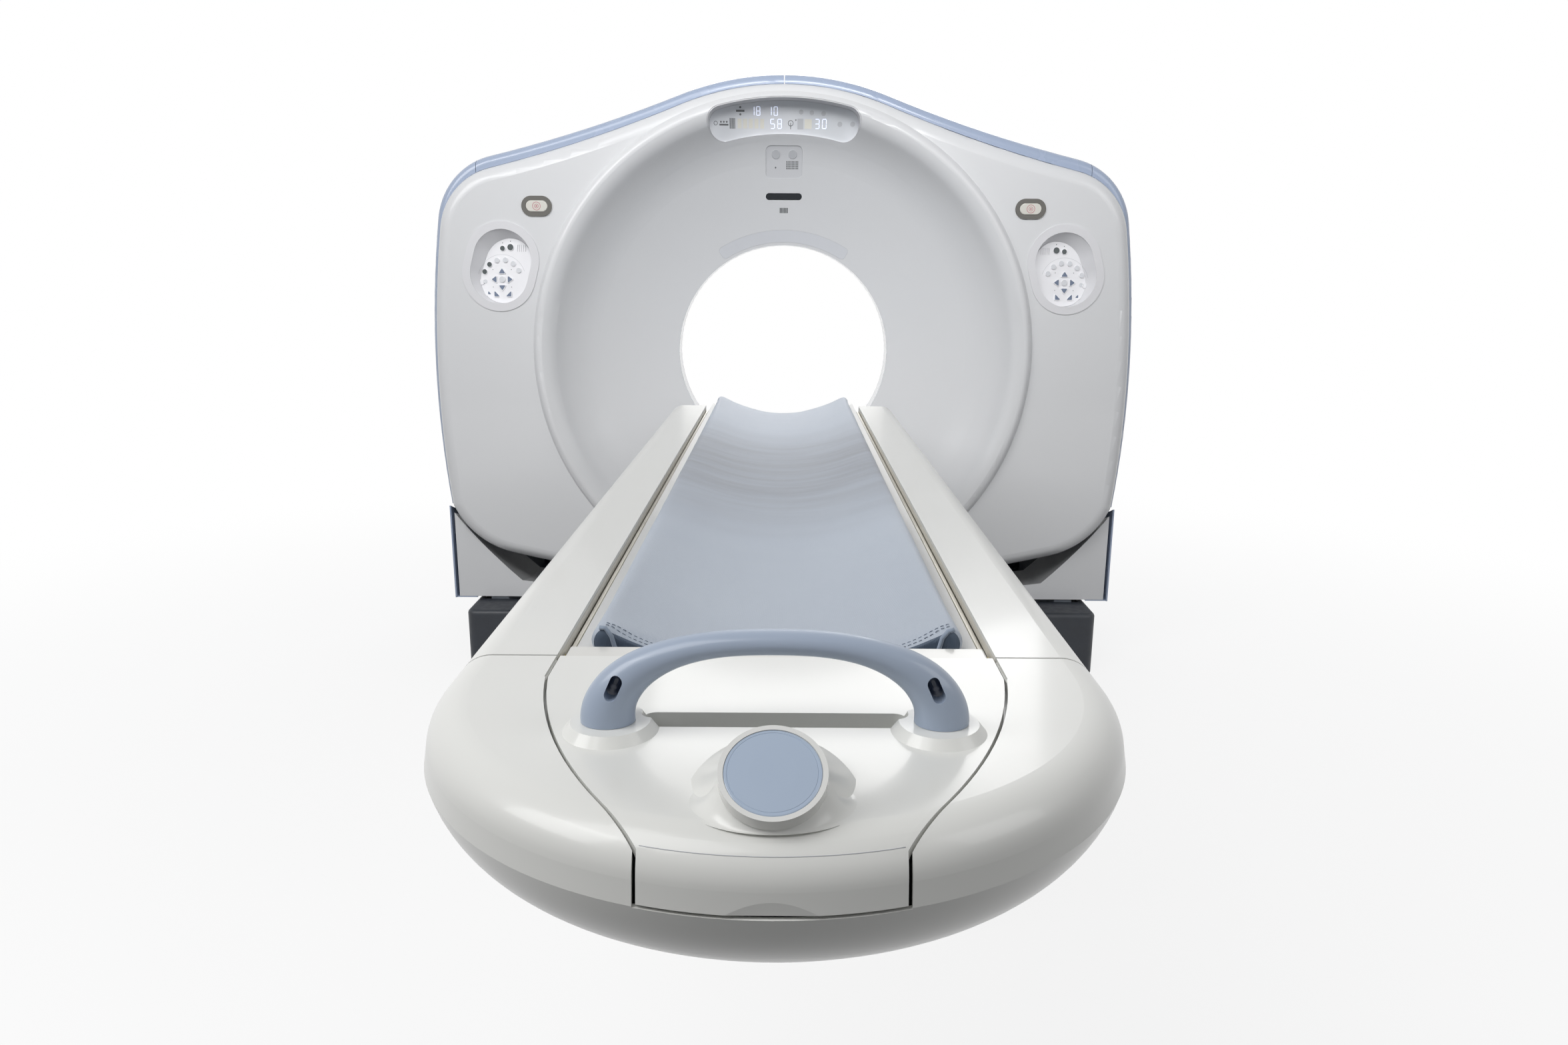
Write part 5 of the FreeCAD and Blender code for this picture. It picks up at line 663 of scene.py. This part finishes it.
def pod_keys(materials):
    """Coloured caps, lamps and printed dots on the keypads' raised keys; on the left pod two pale
    keys are painted dark as shade.
    """
    blue = [petal(turn) for turn in range(4)]
    for x, z, side, tall in ((-0.020, -0.044, -1, 0.022), (0.017, -0.044, 1, 0.022),
                             (0.042, -0.041, 1, 0.015)):
        half = tall / 2 - 0.0022
        low, upright = z - half, x + side * half
        blue.append(rounded([(upright, low), (upright, z + half), (x - side * half, low)], 0.002))
    pale = [circle(0.0, 0.0, 0.0092)]
    # The first two keys of the arc: pale on the right pod, painted dark on the left pod as the
    # shade of its recess's upper-outer side.
    outer = []
    for step in range(6):
        turn = math.radians(23 + 26 * step)
        row = outer if step < 2 else pale
        row.append(circle(0.061 * math.cos(turn), 0.061 * math.sin(turn), 0.0076))
    turn = math.radians(-7)
    pale.append(circle(0.056 * math.cos(turn), 0.056 * math.sin(turn), 0.0066))
    dark = [circle(-0.0033, 0.0955, 0.0076), circle(-0.0289, 0.0989, 0.0096)]
    for x, z in ((-0.0033, 0.112), (-0.0289, 0.117)):
        dark.append(circle(x, z, 0.0014, 10))
    for x, z in ((-0.030, -0.024), (0.030, -0.024), (-0.030, 0.030), (0.030, 0.030)):
        dark.append(circle(x, z, 0.0012, 10))
    line = []
    for radius, steps in ((0.0770, range(25)), (0.0762, range(24, -1, -1))):
        for step in steps:
            turn = math.radians(12 + 6.2 * step)
            line.append((radius * math.cos(turn), radius * math.sin(turn)))
    for side, name in ((-1, "left"), (1, "right")):
        touch = surface(f"keypad_{name}", "pod_trays")
        # Painted shade: on the left pod the two outer arc keys go into the dark lamps piece; on the
        # right pod they stay pale.
        bright, dim = (pale, dark + outer) if side < 0 else (pale + outer, dark)
        for tag, shapes, colour, thick in (("caps_blue", blue, "key_blue", 0.0008),
                                           ("caps_pale", bright, "key_pale", 0.0008),
                                           ("lamps", dim, "key_dark", 0.0006)):
            plates = Plates(touch, thick)
            for points in shapes:
                plates.shape([on_pod(side, x, z) for x, z in points])
            plates.finish(f"keypad_{name}_{tag}", materials[colour], "gantry", "keypad_mat")
        arc = Plates(touch, 0.0002)
        arc.band([on_pod(side, x, z) for x, z in line])
        arc.finish(f"keypad_{name}_line", materials["print_faint"], "gantry", "keypad_mat")


def petal(turn):
    """The cap of one direction key, inset from its edges."""
    angle = math.radians(90 * turn)
    points = []
    for x, z in rounded([(-0.0108, 0.0185), (0.0108, 0.0185), (0.0, 0.0340)], 0.0024):
        points.append((x * math.cos(angle) + z * math.sin(angle),
                       z * math.cos(angle) - x * math.sin(angle)))
    return points


def on_pod(side, x, z):
    """Where a spot of the sloping key field lies, seen along the bore."""
    turn = Matrix.Rotation(POD_TILT, 3, Vector((1, 0, -1)))
    spot = turn @ Vector((x + 0.002, -0.0053, z - 0.040))
    return side * (spot.x + POD_X), spot.z + POD_Z


def badge_face(materials):
    """The coloured face inside the badge's rim, with a fine raised ring."""
    profile = ((0.0366, -0.0003), (0.0366, 0.0004), (0.0360, 0.0008), (0.0344, 0.0008),
               (0.0341, 0.0005), (0.0336, 0.0005), (0.0333, 0.0008), (0.0180, 0.0012))
    mesh = bmesh.new()
    rings = []
    count = 72
    for radius, rise in profile:
        ring = []
        for step in range(count):
            turn = 2 * math.pi * step / count
            ring.append(mesh.verts.new((radius * math.cos(turn), radius * math.sin(turn), rise)))
        rings.append(ring)
    for low, high in zip(rings, rings[1:]):
        for i in range(count):
            j = (i + 1) % count
            mesh.faces.new((low[i], low[j], high[j], high[i]))
    mesh.faces.new(rings[0][::-1])
    mesh.faces.new(rings[-1])
    lean = Matrix.Rotation(BADGE_LEAN, 4, "X")
    seat = Matrix.Translation(BADGE_AT) @ lean @ Matrix.Translation((0, 0, BADGE_THICK))
    bmesh.ops.transform(mesh, matrix=seat, verts=mesh.verts)
    add_piece("badge_inlay", mesh, materials["badge_face"], "cradle")


def handle_plugs(materials):
    """The dark, dished inserts in the handle's oval holes."""
    levels = ((1.0, -2.7990), (1.0, -2.8120), (0.86, -2.8114), (0.60, -2.8098), (0.30, -2.8090))
    for side, name in ((-1, "left"), (1, "right")):
        lean = PLUG_LEAN * side
        mesh = bmesh.new()
        rings = []
        for grow, y in levels:
            ring = []
            for step in range(36):
                turn = 2 * math.pi * step / 36
                across = PLUG_RADIUS * grow * math.cos(turn)
                along = PLUG_RADIUS * grow * math.sin(turn)
                along += math.copysign(PLUG_HALF * grow, math.sin(turn))
                x = side * PLUG_X + across * math.cos(lean) + along * math.sin(lean)
                z = PLUG_Z - across * math.sin(lean) + along * math.cos(lean)
                ring.append(mesh.verts.new((x, y, z)))
            rings.append(ring)
        for low, high in zip(rings, rings[1:]):
            for i in range(36):
                j = (i + 1) % 36
                mesh.faces.new((low[i], low[j], high[j], high[i]))
        mesh.faces.new(rings[0])
        mesh.faces.new(rings[-1])
        bmesh.ops.recalc_face_normals(mesh, faces=mesh.faces)
        add_piece(f"handle_plug_{name}", mesh, materials["plug_navy"], "cradle")


def badge_seat(materials):
    """The soft flare from the cover's plate up to the badge's back."""
    lean = Matrix.Rotation(BADGE_LEAN, 4, "X")
    count, levels = 64, 10
    mesh = bmesh.new()
    rings = []
    for level in range(levels + 1):
        share = level / levels
        ring = []
        for step in range(count):
            turn = 2 * math.pi * step / count
            across, along = math.cos(turn), math.sin(turn)
            top = Vector(BADGE_AT) + lean @ Vector((0.0385 * across, 0.0385 * along, 0.0))
            foot = Vector((0.071 * across, BADGE_AT[1] + 0.016 + 0.052 * along, PLATE_TOP_Z))
            spot = top.lerp(foot, share)
            spot.z -= (top.z - foot.z) * 0.42 * math.sin(math.pi * share) * (1 - 0.3 * share)
            ring.append(mesh.verts.new(spot))
        rings.append(ring)
    for low, high in zip(rings, rings[1:]):
        for i in range(count):
            j = (i + 1) % count
            mesh.faces.new((low[i], low[j], high[j], high[i]))
    mesh.faces.new(rings[0])
    mesh.faces.new(rings[-1])
    bmesh.ops.recalc_face_normals(mesh, faces=mesh.faces)
    seat = add_piece("badge_seat", mesh, materials["table_white"], "cradle",
                     smooth=True)
    for face in seat.data.polygons:
        face.use_smooth = len(face.vertices) == 4


def lip_line(materials):
    """The fine line across the nose where the lip's front begins."""
    merged = bmesh.new()
    merged.from_mesh(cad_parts["centre_cover"].data)
    tree = BVHTree.FromBMesh(merged)
    merged.free()
    path = []
    for step in range(33):
        turn = math.radians(LIP_HALF_DEG * (step / 16 - 1))
        x, y = LIP_RADIUS * math.sin(turn), NOSE_Y - LIP_RADIUS * math.cos(turn)
        hit = tree.ray_cast(Vector((x, y, 1.1)), Vector((0, 0, -1)))[0]
        path.append(hit)
    add_piece("lip_line", sweep(path, 0.0004, 6), materials["print_faint"], "cradle",
              smooth=True)


def rail_ends(materials):
    """The trim that closes each rail cover's inner edge, and a bracket at its foot end."""
    for side, name in ((-1, "left"), (1, "right")):
        trim = slab(side * TRIM_IN_X, side * TRIM_OUT_X, TRIM_FOOT_Y, TRIM_HEAD_Y, 0.8880, 0.8998,
                    0.0008)
        add_piece(f"rail_trim_{name}", trim, materials["trim_beige"], "table_top")
        bracket = bmesh.new()
        for x0, x1, y0, y1, z0, z1 in ((0.2246, 0.2294, -2.6170, -2.6030, 0.8902, 0.8914),
                                       (0.2246, 0.2258, -2.6170, -2.6030, 0.8902, 0.8985),
                                       (0.2246, 0.2294, -2.6170, -2.6158, 0.8902, 0.8972)):
            merge(bracket, slab(side * x0, side * x1, y0, y1, z0, z1))
        merge(bracket, sweep([Vector((side * 0.2276, -2.6095, 0.8912)),
                              Vector((side * 0.2276, -2.6095, 0.8932))], 0.0013))
        add_piece(f"rail_bracket_{name}", bracket, materials["brass"], "table_top")


def slab(x0, x1, y0, y1, z0, z1, edge=0.0003):
    """A small block with softened edges."""
    mesh = bmesh.new()
    bmesh.ops.create_cube(mesh, size=1.0)
    size = Matrix.Diagonal((abs(x1 - x0), y1 - y0, z1 - z0, 1))
    place = Matrix.Translation((0.5 * (x0 + x1), 0.5 * (y0 + y1), 0.5 * (z0 + z1)))
    bmesh.ops.transform(mesh, matrix=place @ size, verts=mesh.verts)
    bmesh.ops.bevel(mesh, geom=mesh.edges[:], offset=edge, segments=2, affect="EDGES")
    return mesh


# ---------------------------------------------------------------- the mattress

def pad_section(across, up, slack):
    """A point of the mattress's section: across from -1 to 1, up 0 under it or 1 on top."""
    flat = PAD_HALF - slack - PAD_ROUND
    reach = min(abs(across), 1.0)
    x = math.copysign(flat * reach, across)
    under = under_line(x)
    over = 0.8670 + 0.0470 * (x / 0.191) ** 2 - slack
    if abs(across) < 1.0:
        return x, under if up < 0.5 else over
    middle, rise = 0.5 * (under + over), 0.5 * (over - under)
    turn = math.pi * (up - 0.5)
    return x + math.copysign(PAD_ROUND * math.cos(turn), across), middle + rise * math.sin(turn)


def pad_mesh(slack):
    """A closed lattice: cells across, around the sides and along the length."""
    wide, tall, long = 34, 6, 224
    front, back = PAD_FOOT_Y + slack, PAD_HEAD_Y - slack
    mesh = bmesh.new()
    verts = {}

    def vert(i, k, j):
        on_shell = i in (0, wide) or k in (0, tall) or j in (0, long)
        if not on_shell:
            return None
        if (i, k, j) not in verts:
            across = 2 * i / wide - 1
            x0, z0 = pad_section(across, 0, slack)
            x1, z1 = pad_section(across, 1, slack)
            if i in (0, wide):
                x, z = pad_section(across, k / tall, slack)
            else:
                x, z = x0, z0 + (z1 - z0) * k / tall
            y = front + (back - front) * j / long
            verts[i, k, j] = mesh.verts.new((x, y, z))
        return verts[i, k, j]

    def quad(*places):
        mesh.faces.new([vert(*place) for place in places])

    for j in range(long):
        for i in range(wide):
            quad((i, tall, j), (i + 1, tall, j), (i + 1, tall, j + 1), (i, tall, j + 1))
            quad((i, 0, j), (i, 0, j + 1), (i + 1, 0, j + 1), (i + 1, 0, j))
        for k in range(tall):
            quad((0, k, j), (0, k + 1, j), (0, k + 1, j + 1), (0, k, j + 1))
            quad((wide, k, j), (wide, k, j + 1), (wide, k + 1, j + 1), (wide, k + 1, j))
    for i in range(wide):
        for k in range(tall):
            quad((i, k, 0), (i + 1, k, 0), (i + 1, k + 1, 0), (i, k + 1, 0))
            quad((i, k, long), (i, k + 1, long), (i + 1, k + 1, long), (i + 1, k, long))
    bmesh.ops.recalc_face_normals(mesh, faces=mesh.faces)
    return mesh


def make_pad(materials):
    """The mattress: pressed up by its filling, then a seam and piping round its foot end."""
    piece = add_piece("mattress", pad_mesh(PAD_SLACK), materials["pad_cloth"], "cradle",
                      smooth=True)
    piece.data.materials.append(materials["pad_side"])
    rest = [vertex.co.copy() for vertex in piece.data.vertices]
    rests = piece.vertex_groups.new(name="rests")
    low = [i for i, co in enumerate(rest) if co.z < under_line(co.x) + 0.002]
    rests.add(low, 1.0, "REPLACE")
    cloth = piece.modifiers.new("filling", "CLOTH")
    settings = cloth.settings
    settings.use_pressure = True
    settings.uniform_pressure_force = 4.0
    settings.effector_weights.gravity = 0.0
    settings.vertex_group_mass = "rests"
    settings.tension_stiffness = settings.compression_stiffness = 20.0
    settings.bending_stiffness = 2.0
    scene = bpy.context.scene
    for step in range(1, 21):
        scene.frame_set(step)
    grown = piece.evaluated_get(bpy.context.evaluated_depsgraph_get()).data
    moved = [vertex.co.copy() for vertex in grown.vertices]
    piece.modifiers.remove(cloth)
    for vertex, start, end in zip(piece.data.vertices, rest, moved):
        shift = end - start
        if shift.length > PAD_GROWTH:
            shift *= PAD_GROWTH / shift.length
        vertex.co = start + shift
    for vertex in piece.data.vertices:
        co = vertex.co
        co.x = max(0.0001 - PAD_HALF, min(PAD_HALF - 0.0001, co.x))
        co.y = max(PAD_FOOT_Y - PAD_SPARE, min(PAD_HEAD_Y + PAD_SPARE, co.y))
        co.z = max(co.z, under_line(co.x))
        if co.z > under_line(co.x) + 0.012:
            wave = noise.noise(Vector((co.x * 2.5, co.y * 16.0, 3.1)))
            co.z += 0.0008 * wave
    for face in piece.data.polygons:
        at_end = face.normal.y < -0.6 and face.center.y < -2.55
        face.material_index = 1 if at_end else 0
    smooth = piece.modifiers.new("smooth", "SUBSURF")
    smooth.levels = smooth.render_levels = 1
    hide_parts("pad")
    edge_sewing(piece, materials)


def edge_sewing(piece, materials):
    """A piped edge and two rows of stitches across the mattress's foot end."""
    merged = bmesh.new()
    merged.from_mesh(piece.data)
    tree = BVHTree.FromBMesh(merged)
    merged.free()

    def top(x, y):
        return tree.ray_cast(Vector((x, y, 1.0)), Vector((0, 0, -1)))[0].z

    path = []
    count = 60
    for step in range(count + 1):
        x = -0.196 + 0.392 * step / count
        path.append(Vector((x, PIPING_Y, top(x, PIPING_Y) + 0.0002)))
    tube = sweep(path, 0.0026)
    add_piece("mattress_piping", tube, materials["piping"], "cradle", smooth=True)

    stitches = bmesh.new()
    for y in STITCH_ROWS:
        for step in range(64):
            x0 = -0.190 + 0.0060 * step
            ends = [Vector((x, y, top(x, y) + 0.0001)) for x in (x0, x0 + 0.0036)]
            merge(stitches, sweep([ends[0], ends[0].lerp(ends[1], 0.5) + Vector((0, 0, 0.0003)),
                                   ends[1]], 0.0004, 6))
    add_piece("mattress_stitches", stitches, materials["pad_side"], "cradle",
              smooth=True)


def sweep(path, radius, around=10):
    """A round cord along a path, closed at both ends."""
    mesh = bmesh.new()
    rings = []
    for place, point in enumerate(path):
        ahead = path[min(place + 1, len(path) - 1)] - path[max(place - 1, 0)]
        turn = ahead.to_track_quat("Z", "Y")
        ring = []
        for step in range(around):
            angle = 2 * math.pi * step / around
            ring.append(mesh.verts.new(point + turn @ Vector(
                (radius * math.cos(angle), radius * math.sin(angle), 0))))
        rings.append(ring)
    for low, high in zip(rings, rings[1:]):
        for i in range(around):
            j = (i + 1) % around
            mesh.faces.new((low[i], low[j], high[j], high[i]))
    mesh.faces.new(rings[0])
    mesh.faces.new(rings[-1])
    bmesh.ops.recalc_face_normals(mesh, faces=mesh.faces)
    return mesh


def merge(target, source):
    """Adds one mesh to another."""
    data = bpy.data.meshes.new("part")
    source.to_mesh(data)
    source.free()
    target.from_mesh(data)
    bpy.data.meshes.remove(data)


def under_line(x):
    """Height of the mattress's underside, just over the cradle."""
    return 0.8428 + 0.0500 * (x / 0.221) ** 2


def main():
    bpy.context.scene.view_settings.view_transform = "Standard"
    make_camera()
    make_world()
    make_floor()
    make_lights()
    materials = make_materials()
    dress_nodes(materials)
    display_print(materials)
    panel_fittings(materials)
    stop_signs(materials)
    pod_keys(materials)
    badge_face(materials)
    badge_seat(materials)
    handle_plugs(materials)
    lip_line(materials)
    rail_ends(materials)
    make_pad(materials)


main()
